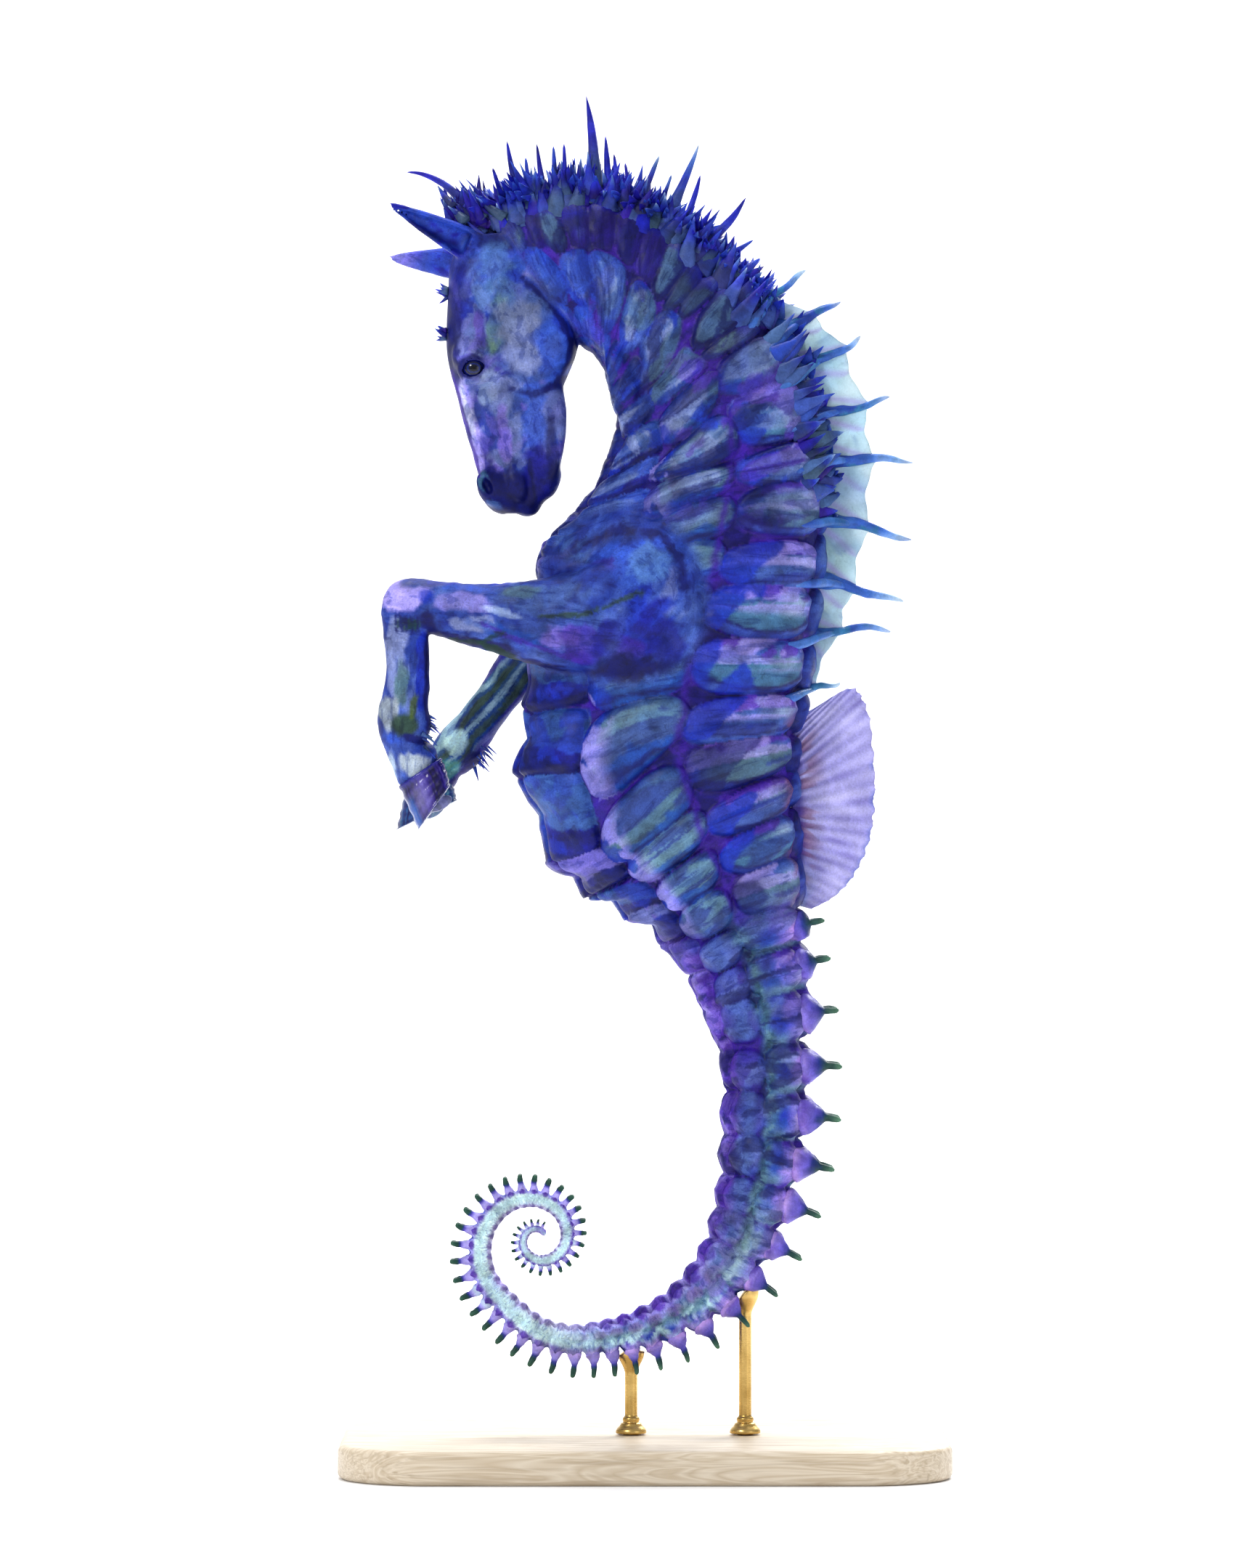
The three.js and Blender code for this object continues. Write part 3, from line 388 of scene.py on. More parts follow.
def head_shape(p):
    """A horse's head: the loft of its profile, with the bones and muscles that show."""
    x, y, z = p
    m = (x, np.abs(y), z)
    f = with_lumps(tube(SKULL, p, HEAD_SQUARENESS), m, [
        ((-26.8, 5, 263.4), (9.8, 5, 10.4), -12, 2.4),  # cheek
        ((-36, 4.6, 274), (8.4, 4.6, 9.4), 0, 3),  # temple
        ((-39.6, 6.2, 260.4), (5.2, 3.6, 4.8), 0, 2),  # brow
        ((-32.6, 7.2, 262.6), (8.6, 2.4, 2.6), 18, 2),  # cheekbone
        ((-35.6, 3.9, 229.8), (3.5, 2.6, 4.4), 14, 1.6),  # nostril
        ((-32.8, 0, 227.6), (4.4, 4.7, 3.6), 0, 2),  # upper lip
        ((-27.6, 0, 226), (3, 3.4, 3.1), 0, 1.4),  # lower lip
        ((-23.6, 0, 231), (3.3, 3.7, 3.6), 10, 1.2),  # chin
        ((-21, 3, 243), (2.6, 2.2, 10), -4, 2.4),  # jaw bar
        ((-40.2, 0, 247), (2.4, 3.4, 15), 14, 2.4),  # bridge of the nose
        ((-35.8, 5.3, 248), (1.4, 1.3, 8.5), 14, 1.8),  # crest of the face
        ((-30, 5.0, 231.5), (2.2, 1.8, 5), 10, 1.6),  # muscle over the lips
    ])
    for centre, radii, tilt, blend in [
        ((-40.4, 10.2, 269.4), (3.2, 2.6, 4.2), 0, 2),  # over the eye
        ((-31.5, 8.6, 250.5), (5.5, 3.2, 5), 0, 3),  # in front of the cheek
        ((-30.4, 7.6, 240), (4, 2.6, 7), 8, 3),  # along the cheek teeth
    ]:
        f = carve(f, ellipsoid(m, centre, radii, tilt), blend)
    eye = middle_of("eye_right")
    socket = (EYE_RADIUS + 1.5, EYE_RADIUS + 0.75, EYE_RADIUS + 1.1)
    f = with_lumps(f, m, [
        (eye + (0.3, -0.5, 0), socket, 10, 0.9),
        (eye + (0.7, 0.35, 2.55), (3.9, 1.5, 1.0), 16, 0.6),  # upper lid
        (eye + (0.3, 0.0, -2.9), (3.3, 1.1, 0.8), 8, 0.6),  # lower lid
    ])
    f = carve(f, almond(m, eye), 0.25)
    f = carve(f, ellipsoid(m, eye, (EYE_RADIUS,) * 3), 0.1)
    f = join(f, ellipsoid(m, (-37, 5.4, 230.2), (2.1, 1.4, 3.1), 24), 0.8)  # rim of the nostril
    f = carve(f, ellipsoid(m, (-36.8, 6.8, 229.7), (1.1, 2.4, 2.1), 24), 0.5)
    mouth = [(-26.6, 222.8), (-26, 226.4), (-26.4, 231.5), (-27.2, 235.6)]
    for (ax, az), (bx, bz) in zip(mouth, mouth[1:]):
        f = carve(f, capsule(m, (ax, 5.9, az), (bx, 5.9, bz), 1.5, 1.35), 0.5)
    return f


def almond(p, eye):
    """The opening between the eyelids: a lens, longer than high, that runs out to the side."""
    x, y, z = (v - c for v, c in zip(p, eye))
    x, z = rotated(x, z, 14)
    half, bulge = 2.75, 1.8
    bow = (half**2 - bulge**2) / (2 * bulge)
    disc = np.maximum(np.hypot(x, z - bow), np.hypot(x, z + bow)) - (bow + bulge)
    return np.maximum(disc, 0.8 - y)


def ear_shape(p, root, tip):
    """A pointed leaf, hollow in front and to the side."""
    root, tip = np.array(root), np.array(tip)
    along = tip - root
    length = np.linalg.norm(along)
    along /= length
    up = np.array([0.35, 0, 1.0]) - along * (0.35 * along[0] + along[2])
    up /= np.linalg.norm(up)
    side = np.cross(along, up)
    side *= np.sign(side[1]) * np.sign(root[1])  # away from the head's middle
    q = [v - c for v, c in zip(p, root)]
    u, v, w = (sum(a * b for a, b in zip(q, axis)) for axis in (along, up, side))
    share = np.clip(u / length, 0, 1)
    half = 4.4 * (1 - share) ** 0.72 * (0.72 + 0.28 * smooth(share, 0, 0.3)) + 0.3
    deep = half * 0.66
    g = np.sqrt((v / half) ** 2 + (w / deep) ** 2) + 1e-6
    f = (g - 1) * np.minimum(half, deep)
    f = np.maximum(f, np.maximum(-u - 4, u - length))
    hollow_half, hollow_deep = np.maximum(half - 0.95, 0.05), np.maximum(deep * 1.2, 0.05)
    h = np.sqrt(((v + 0.25) / hollow_half) ** 2 + ((w - deep * 0.75) / hollow_deep) ** 2)
    hollow = np.maximum((h - 1) * hollow_half, 4.5 - u)
    return carve(f, hollow, 0.5)


def left_leg_shape(p):
    return with_lumps(limb(p, LEFT_LEG), p, [
        ((-9, -19.2, 205), (10, 3.6, 6), 8, 2),  # outer muscle of the forearm
        ((-27, -18.6, 202.2), (13, 3.4, 4.4), 4, 2),
        ((-18, -18.4, 192.2), (11, 3.2, 4.2), -6, 2),
        ((-34, -17.6, 196), (11, 2.6, 2.4), -10, 1.5),
        ((-4, -17.6, 191.6), (5, 3.6, 4), 0, 2),  # elbow
        ((-55.6, -14.5, 202.6), (4.6, 5.2, 4.8), 0, 1.5),  # knee
        ((-51.2, -14.5, 199.2), (2.6, 3.2, 3.4), 0, 1.5),
        ((-51.6, -14.3, 187), (1.5, 2.4, 9), 0, 1.2),  # tendon
        ((-53.2, -14.1, 174.2), (3.2, 3.8, 3.2), 0, 1.5),  # fetlock
        ((-53.4, -16.2, 167), (3.2, 3, 3.3), 0, 1),  # pastern
        ((-51.6, -13.6, 167.2), (3.4, 3.8, 2.8), 0, 1.2),  # heel
    ])


def right_leg_shape(p):
    return with_lumps(limb(p, RIGHT_LEG), p, [
        ((-10, 19, 198), (11, 3.4, 6), 20, 2),
        ((-27.4, 14.5, 191.8), (4.6, 5.2, 4.6), 0, 1.5),
        ((-34, 12.8, 177.6), (1.4, 2.2, 8), -36, 1.2),
        ((-41.6, 11.6, 167.4), (3, 3.6, 3), 0, 1.5),
        ((-47, 10.6, 161.2), (3.2, 3.6, 2.6), 30, 1.2),
    ])


# ---- Surfaces of shapes ----
class Volume:
    """A grid of signed distances."""

    FAR = 6.0

    def __init__(self, low, high, step=0.5):
        self.step = step
        self.low = np.array(low, float)
        self.shape = tuple(int(math.ceil(v)) + 1 for v in (np.array(high) - low) / step)
        self.values = np.full(self.shape, self.FAR, np.float32)

    def add(self, shape, low, high, blend):
        """Joins a shape on, inside a box."""
        first = np.maximum(np.floor((np.array(low) - self.low) / self.step).astype(int), 0)
        last = np.minimum(np.ceil((np.array(high) - self.low) / self.step).astype(int) + 1, self.shape)
        part = tuple(slice(a, b) for a, b in zip(first, last))
        axes = [(self.low[i] + self.step * np.arange(first[i], last[i])).astype(np.float32) for i in range(3)]
        p = (axes[0][:, None, None], axes[1][None, :, None], axes[2][None, None, :])
        made = (shape(p) + 0 * sum(p)).astype(np.float32)
        self.values[part] = join(self.values[part], made, blend)

    def sample(self, points):
        """Distances at points, interpolated."""
        q = np.clip((points - self.low) / self.step, 0, np.array(self.shape) - 1.001)
        i = q.astype(int)
        u = q - i
        total = 0
        for corner in itertools.product((0, 1), repeat=3):
            share = np.prod([u[:, k] if c else 1 - u[:, k] for k, c in enumerate(corner)], axis=0)
            total = total + share * self.values[i[:, 0] + corner[0], i[:, 1] + corner[1], i[:, 2] + corner[2]]
        return total

    def slope(self, points):
        """Direction in which the distance grows."""
        d = np.eye(3) * self.step
        g = np.stack([self.sample(points + d[k]) - self.sample(points - d[k]) for k in range(3)], 1)
        return g / (2 * self.step)

    def surface(self, rounds):
        """Vertices and quads of the zero surface, evened out: one vertex in each cell that it crosses."""
        inside = self.values < 0
        n = [s - 1 for s in self.shape]
        count = np.zeros(n, np.uint8)
        corners = list(itertools.product((0, 1), repeat=3))
        for c in corners:
            count += inside[c[0]: c[0] + n[0], c[1]: c[1] + n[1], c[2]: c[2] + n[2]]
        cells = np.argwhere((count > 0) & (count < 8))
        total, crossings = np.zeros((len(cells), 3)), np.zeros(len(cells))
        for a, b in itertools.combinations(corners, 2):
            if sum(x != y for x, y in zip(a, b)) != 1:
                continue
            fa = self.values[tuple((cells + a).T)]
            fb = self.values[tuple((cells + b).T)]
            crosses = (fa < 0) != (fb < 0)
            share = np.where(crosses, fa / np.where(crosses, fa - fb, 1), 0)
            total += crosses[:, None] * (np.array(a) + share[:, None] * np.subtract(b, a))
            crossings += crosses
        vertices = self.low + self.step * (cells + total / crossings[:, None])
        index = np.full(n, -1, np.int32)
        index[tuple(cells.T)] = np.arange(len(cells))
        quads = []
        for axis in range(3):
            one = [slice(1, -1)] * 3
            two = [slice(1, -1)] * 3
            one[axis], two[axis] = slice(0, -1), slice(1, None)
            flips = np.argwhere(inside[tuple(one)] != inside[tuple(two)])
            offset = np.ones(3, int)
            offset[axis] = 0
            node = flips + offset
            u, v = np.eye(3, dtype=int)[(axis + 1) % 3], np.eye(3, dtype=int)[(axis + 2) % 3]
            quad = np.stack([index[tuple((node - k).T)] for k in (u + v, v, 0 * u, u)], 1)
            turned = inside[tuple(node.T)]
            quads.append(np.where(turned[:, None], quad, quad[:, ::-1]))
        faces = np.concatenate(quads)
        return self.relaxed(vertices, faces, rounds), faces

    def relaxed(self, vertices, faces, rounds):
        """Evens a mesh out and puts it back on the surface, a few times."""
        edges = np.concatenate([faces[:, [k, (k + 1) % 4]] for k in range(4)])
        links = np.bincount(edges[:, 0], minlength=len(vertices))[:, None]
        for _ in range(rounds):
            mean = np.stack(
                [np.bincount(edges[:, 0], vertices[edges[:, 1], k], len(vertices)) for k in range(3)], 1
            ) / np.maximum(links, 1)
            vertices = vertices + 0.5 * (mean - vertices)
            slope = self.slope(vertices)
            steep = np.maximum((slope**2).sum(1), 0.1)
            move = np.clip(self.sample(vertices) / steep, -0.3, 0.3)
            vertices = vertices - slope * move[:, None]
        return vertices

    def normals(self, vertices):
        slope = self.slope(vertices)
        return slope / np.maximum(np.linalg.norm(slope, axis=1), 1e-6)[:, None]


# ---- Chance and noise ----
def chance(*numbers):
    """A number from 0 to 1 for each set of whole numbers, always the same."""
    h = np.uint64(1469598103934665603)
    with np.errstate(over="ignore"):
        for n in numbers:
            h = (np.asarray(n).astype(np.int64).astype(np.uint64) ^ h) * np.uint64(1099511628211)
            h ^= h >> np.uint64(29)
    return ((h >> np.uint64(20)) % np.uint64(65536)).astype(float) / 65535


# Turns the grid of the noise, so that it doesn't line up with the model.
TURNED = np.array([[0.36, 0.48, -0.8], [-0.8, 0.6, 0.0], [0.48, 0.64, 0.6]])


def noise(points, size, seed=0):
    """Smooth noise from -1 to 1 with lumps about size across."""
    q = (np.asarray(points) / size) @ TURNED.T + seed * 17.13
    q = q + 0.4 * np.sin(1.9 * q[:, (1, 2, 0)])
    i = np.floor(q).astype(np.int64)
    u = q - i
    u = u * u * (3 - 2 * u)
    total = 0
    for c in itertools.product((0, 1), repeat=3):
        share = np.prod([u[:, k] if c[k] else 1 - u[:, k] for k in range(3)], axis=0)
        total = total + share * chance(i[:, 0] + c[0], i[:, 1] + c[1], i[:, 2] + c[2], seed)
    return 2 * total - 1


def smooth(v, low, high):
    """0 below low, 1 above high, and smooth between."""
    u = np.clip((v - low) / (high - low), 0, 1)
    return u * u * (3 - 2 * u)


def fade(v, low, high):
    """1 below low, 0 above high, and smooth between."""
    return 1 - smooth(v, low, high)


def bell(v, width):
    """1 at 0, falling off on both sides over about width."""
    return np.exp(-((v / width) ** 2))


# ---- Plates of the body ----
# Bands of plates round the body, as shares of the way from the back to the belly, at stations.
BAND_STATIONS = [0, 6, 8.5, 11, 12.5, 15, 17, 19, 21]
BANDS = [
    [0.16, 0.15, 0.13, 0.12, 0.12, 0.12, 0.12, 0.12, 0.12],
    [0.42, 0.43, 0.43, 0.43, 0.467, 0.448, 0.465, 0.5, 0.5],
    [0.66, 0.68, 0.68, 0.66, 0.7, 0.71, 0.72, 0.76, 0.8],
    [0.85, 0.86, 0.87, 0.88, 0.92, 0.92, 0.92, 0.93, 0.93],
]
# How far a band's plates run on towards the tail on the belly side, in rings, at stations.
SLANT_STATIONS = [0, 4, 6.5, 10, 11.5, 13, 14.4, 16.5, 18, 20]
SLANTS = {2: [0, 0.3, 0.8, 0.8, 0.3, 0.3, 0.9, 1, 0.5, 0], 3: [0, 0.3, 0.8, 0.8, 0, 0, 0, 0, 0, 0]}
CREST_DOUBLES_TO = 6  # above this station the crest has two plates to each of the others
HALF_PITCH = 0.53  # half of a plate's length over its ring's
HALF_BAND = 0.52


class Plates:
    """The plates over points: each point's height on its plate, which plate it is, and its place there."""

    def __init__(self, points):
        x, y, z = points.T
        self.at, self.t, _, self.deep, wide = BODY.locate(x, z)
        at, t = self.at, self.t
        keel = 1 - BODY_KEEL * np.clip(-t, 0, 1) ** 1.5
        self.around = np.arctan2(np.abs(y) / (wide * keel), t) / np.pi
        size = np.maximum(self.deep, 2)[:, None] / 10
        wobble = np.interp(at, [0, 8, 12, 18], [0.22, 0.18, 0.1, 0.1])
        ring = np.interp(at, JOINTS, np.arange(len(JOINTS))) + wobble * noise(points / size, 9, 1)
        ring = ring + 0.3 * wobble * noise(points / size, 3.2, 6)
        around = np.clip(self.around + 0.25 * wobble * noise(points / size, 8, 2), 0, 1)
        edges = [0 * at, *(np.interp(at, BAND_STATIONS, band) for band in BANDS), 0 * at + 1]
        self.ridge = edges[2]
        low_t = np.cos(np.pi * self.ridge)
        lean = np.clip((low_t - np.cos(np.pi * self.around)) / (low_t + 1), 0, 1)
        self.height = np.full(len(x), -1.0)
        self.tint, self.u, self.v = (np.zeros(len(x)) for _ in range(3))
        self.band = np.zeros(len(x), int)
        for band in range(5):
            low, high = edges[band], edges[band + 1]
            low = -high if band == 0 else low
            high = 2 - low if band == 4 else high
            count = ring
            if band == 1:
                count = np.where(at < CREST_DOUBLES_TO, 2 * ring, ring + CREST_DOUBLES_TO)
            if band in SLANTS:
                count = ring - lean * np.interp(at, SLANT_STATIONS, SLANTS[band])
            across = (around - (low + high) / 2) / ((high - low) * HALF_BAND)
            for step in (-1, 0, 1):
                number = np.floor(count) + step
                which = chance(number, band, (y > 0) * (band not in (0, 4)), 7)
                u = (count - number - 0.5 + 0.2 * (which - 0.5)) / HALF_PITCH
                v = across + 0.16 * (chance(number, band, 9) - 0.5)
                n = 4.5 if band >= 3 else 2.6
                q = np.abs(u) ** n + np.abs(v) ** n
                height = np.where(q < 1, np.sqrt(np.clip(1 - q, 0, 1)) - 0.06 * u, -0.15)
                higher = height > self.height
                self.height[higher], self.tint[higher] = height[higher], which[higher]
                self.u[higher], self.v[higher], self.band[higher] = u[higher], v[higher], band
        self.height = np.clip(self.height, -0.15, 1.1)
        self.streaks = noise(np.stack([3.2 * self.u, 1.1 * self.v, 40 * self.tint + 9 * self.band], 1), 1, 8)

    def ring_place(self):
        """Place in the ring: 0 at its middle, -0.5 and 0.5 at its joints."""
        ring = np.interp(self.at, JOINTS, np.arange(len(JOINTS)))
        return ring - np.floor(ring) - 0.5


def group_weights(points):
    """How much each point belongs to the head, to a leg and to an ear, from 0 to 1."""
    p = tuple(points.T)
    body = body_tube(p)
    head = tube(SKULL, p, HEAD_SQUARENESS)
    legs = np.minimum(limb(p, LEFT_LEG[2:]), limb(p, RIGHT_LEG[2:]))
    ears = np.minimum(ear_shape(p, *EARS["left"]), ear_shape(p, *EARS["right"]))
    return {
        "head": smooth(np.minimum(body, legs) - np.minimum(head, ears), -2.2, 1.2),
        "leg": smooth(np.minimum(body, head) - legs, -1.5, 3.5),
        "ear": smooth(np.minimum(head, body) - ears, 0.2, 2.2) * (ears < 3),
    }


def shoulder_distance(points):
    """Distance from the shoulder's middle, seen from the side."""
    x, z = rotated(points[:, 0] - SHOULDER[0], points[:, 2] - SHOULDER[1], 20)
    return np.hypot(x, z * 0.92)


def displaced(points, normals, plates, weights):
    """The skin with its plates, ridges and corners raised."""
    at, around, deep = plates.at, plates.around, plates.deep
    bare = np.clip(weights["head"] + weights["leg"], 0, 1)
    amount = np.interp(at, [0, 4, 9, 13, 17, TAIL_START + 4, COIL_FROM - 3, COIL_FROM, BODY.count],
                       [0.55, 1.1, 2.1, 2.6, 2.5, 2.1, 1.1, 0.6, 0.16])
    throat = smooth(around, 0.56, 0.72) * fade(at, 4.5, 7.5)
    keel = smooth(around, 0.86, 0.96)
    shoulder = shoulder_distance(points)
    amount = amount * (0.1 + 0.9 * smooth(shoulder, 16, 22)) * (1 - 0.75 * throat) * (1 - 0.55 * keel)
    move = (plates.height - 0.72) * amount
    # The rim of the shoulder blade.
    upper = smooth(points[:, 2] + 0.5 * points[:, 0], 198, 206)
    move -= 0.9 * bell(shoulder - 18.6, 1.5) * upper * (around > 0.2)
    # The belly's edge stands out in a corner at each joint.
    frac = np.abs(at - np.round(at))
    corner = smooth(around, 0.74, 0.9) * smooth(at, 12.4, 13.2) * fade(at, 17.6, 18.4)
    move += corner * (1.6 - 7 * frac)
    # Lobes of the tail, out to the spines.
    place = plates.ring_place()
    outer = fade(around, 0.16, 0.4)
    tail = smooth(at, TAIL_START, TAIL_START + 1.5)
    lobe = tail * outer * deep * np.interp(at, [18, 24, 33, 56], [0.1, 0.16, 0.3, 0.2])
    move += lobe * (1.6 * np.clip(1 - 2.3 * np.abs(place), 0, 1) - 0.55)
    inner = smooth(around, 0.62, 0.8) * smooth(at, 20, 23) * fade(at, COIL_FROM - 1, COIL_FROM + 2)
    move += inner * deep * 0.15 * (np.clip(1 - 2 * np.abs(place), 0, 1) - 0.5)
    # Knobs on the flanks of the coil.
    coil = smooth(at, COIL_FROM - 3, COIL_FROM)
    move += coil * deep * 0.16 * bell(place, 0.22) * (bell(around - 0.3, 0.06) + bell(around - 0.78, 0.06))
    # Small spurs along the side ridge.
    trunk = smooth(at, 8, 10) * fade(at, 18, 20)
    move += trunk * 0.9 * bell(around - plates.ridge, 0.018) * bell(np.abs(place) - 0.5, 0.16)
    move += 0.16 * plates.streaks * amount * smooth(plates.height, 0.1, 0.5)
    move *= 1 - bare
    strands = points * (1.0, 1.0, 0.35)
    fine = 0.2 * noise(points, 3.2, 3) + 0.1 * noise(points, 1.5, 4) + 0.3 * throat * noise(strands, 3, 5)
    move += fine * (1 - 0.6 * weights["head"]) * np.clip(deep / 12, 0.1, 1)
    return points + normals * move[:, None]


def stroke_flow(points, plates, weights):
    """Places in which brush strokes are short along the first axis and long along the second."""
    x, y, z = points.T
    flow = np.stack([3.4 * plates.u, 1.3 * plates.v, 40 * plates.tint + 9 * plates.band], 1)
    shoulder = shoulder_distance(points)
    turn = np.arctan2(z - SHOULDER[1], x - SHOULDER[0])
    leg, left = weights["leg"] > 0.4, y < 0
    forearm = np.where(left, (z > 193) | (x > -47), x > -28)
    for chosen, across, along in (
        ((shoulder < 19) & (plates.around > 0.2), 0.7 * shoulder, 18 * turn),
        (weights["head"] > 0.5, 0.62 * x + 0.1 * z, 0.27 * x - 1.5 * z),
        (leg & left & forearm, z + 0.08 * x, x),
        (leg & left & ~forearm, x, z),
        (leg & ~left & forearm, 0.93 * z - 0.37 * x, 0.93 * x + 0.37 * z),
        (leg & ~left & ~forearm, 0.8 * x - 0.6 * z, 0.6 * x + 0.8 * z),
        (weights["ear"] > 0.5, z + 0.4 * x, x),
    ):
        flow[chosen] = np.stack([across / 1.4, along / 6, y / 4], 1)[chosen]
    return flow


# ---- Colours ----
def colour(code):
    """Linear red, green and blue of a web colour."""
    v = np.array([int(code[i:i + 2], 16) for i in (0, 2, 4)]) / 255
    return np.where(v <= 0.04045, v / 12.92, ((v + 0.055) / 1.055) ** 2.4)


COLOURS = {name: colour(code) for name, code in {
    "navy": "0E1868", "indigo": "1C1F8C", "royal": "1E3CB4", "deep_blue": "1450A8", "blue": "3C62C8",
    "steel": "5F86BE", "pale": "B4C8E2", "aqua": "C2E4E6", "teal": "2F7F96", "sea": "5FA096",
    "moss": "6E8C78", "light_green": "A2C0AC", "olive": "54683A", "dark_green": "164034", "violet": "44249C",
    "purple": "5E36AE", "lavender": "A69EE4", "pink": "CFA6E6", "rose": "8C5C78", "grey": "7C86A8",
    "white": "E2EAF6", "slate": "4A64A4", "teal_grey": "4E7C98", "moss_grey": "5A7A86", "sea_grey": "6E92A4",
    "grey_lilac": "8490BE", "dark_violet": "34148C", "dark_olive": "364E46", "pale_grey": "A2AEBC",
    "lilac": "8A78D0", "mauve": "7C70A8",
}.items()}
RAMPS = {name: [colour(code) for code in codes.split()] for name, codes in {
    "head": "10206C 28449A 4A60B0 7488C8 A8B2E0",
    "neck": "14247C 2C469C 4A64B0 6C84BE A2AEDC",
    "crest": "121A64 263478 3E5478 587080 8698A0",
    "back": "101E70 263E98 4460AE 6680B8 A2B8DA",
    "side": "101E6C 2A468E 4A6A98 6A8AA4 9EB6C2",
    "belly": "0A1260 1C2C8C 3444A0 5464B4 8490D0",
    "tail": "2A2484 4450A4 6270B6 8496C8 B8C2E4",
    "bend": "5648AC 787CC4 92A6D2 B4CCDE D6E4EE",
    "coil": "8A8CCC A4A8DC B8C4E6 C6DAE8 D8E8EE",
    "leg": "14247C 304A9E 506AB4 7A8CC8 ACB0E0",
    "far_leg": "14226E 2A4A8C 426E94 6E96A8 A4C0C8",
    "mane": "0C1474 1A22A0 2A34BC 4650D2 8498E6",
    "spine": "16287C 2446A4 3E6CC0 749CD8 B4D4EC",
    "web": "7CA6DC 96C2E8 AAD6EE BEE4F4 D4EEF8",
    "fin": "7E76C0 9A96D8 ACA8E4 BAB6EE CAC6F4",
    "hoof": "0C0836 180E58 281A74 40328E 6660AE",
    "far_hoof": "101850 183470 265288 447C96 7AA6B4",
    "thorn": "8474CC 5A50BC 1E2C7C 1A3C3C 4E7860",
    "iris": "010104 03050F 0A1028 05081A 020308",
}.items()}


class Paint:
    """Colours of points, washed over one another."""

    def __init__(self, points, ramp, value):
        self.points = points
        self.rgb = self.on(ramp, value)

    @staticmethod
    def on(ramp, value):
        """Colours at values from 0 to 1 on a ramp."""
        stops = np.array(RAMPS[ramp])
        place = np.clip(value, 0, 1) * (len(stops) - 1)
        i = np.minimum(place.astype(int), len(stops) - 2)
        u = (place - i)[:, None]
        return stops[i] * (1 - u) + stops[i + 1] * u

    def patches(self, size, seed, low=0.0, high=0.15, stretch=(1, 1, 1)):
        """Washes with fairly sharp edges, 0 or 1."""
        points = self.points * stretch
        return smooth(noise(points, size, seed) + 0.4 * noise(points, size / 2.7, seed + 1), low, high)

    def cover(self, ramp, value, amount):
        self.rgb += (self.on(ramp, value) - self.rgb) * np.clip(amount, 0, 1)[:, None]

    def wash(self, name, amount):
        self.rgb += (COLOURS[name] - self.rgb) * np.clip(amount, 0, 1)[:, None]

    def washes(self, mask, rows):
        """Washes one after another inside a mask."""
        for name, amount in rows:
            self.wash(name, mask * amount)

    def spot(self, mask, name, centre, radii, strength, tilt=0):
        """A soft, uneven spot on both sides, at x and z."""
        x, z = rotated(self.points[:, 0] - centre[0], self.points[:, 2] - centre[1], tilt)
        seed = int(abs(centre[0] * 7 + centre[1] * 3))
        uneven = 0.42 * noise(self.points, 3.2, seed) + 0.24 * noise(self.points, 1.2, seed + 1)
        inside = smooth(1.3 - np.hypot(x / radii[0], z / radii[1]) + uneven, 0, 0.45)
        self.wash(name, 1.1 * strength * inside * mask)

    def spots(self, mask, rows):
        for row in rows:
            self.spot(mask, *row)

    def stroke(self, mask, name, points, width, strength):
        """A brush stroke through points at x and z."""
        x, z = self.points[:, 0], self.points[:, 2]
        nearest = np.full(len(x), 99.0)
        for (ax, az), (bx, bz) in zip(points, points[1:]):
            dx, dz = bx - ax, bz - az
            t = np.clip(((x - ax) * dx + (z - az) * dz) / (dx**2 + dz**2), 0, 1)
            nearest = np.minimum(nearest, np.hypot(x - ax - t * dx, z - az - t * dz))
        nearest += 0.5 * width * noise(self.points, 2.2, 51) + 0.3 * width * noise(self.points, 0.9, 52)
        self.wash(name, strength * fade(nearest, 0.7 * width, 1.3 * width) * mask)

    def strokes(self, mask, rows):
        for row in rows:
            self.stroke(mask, *row)


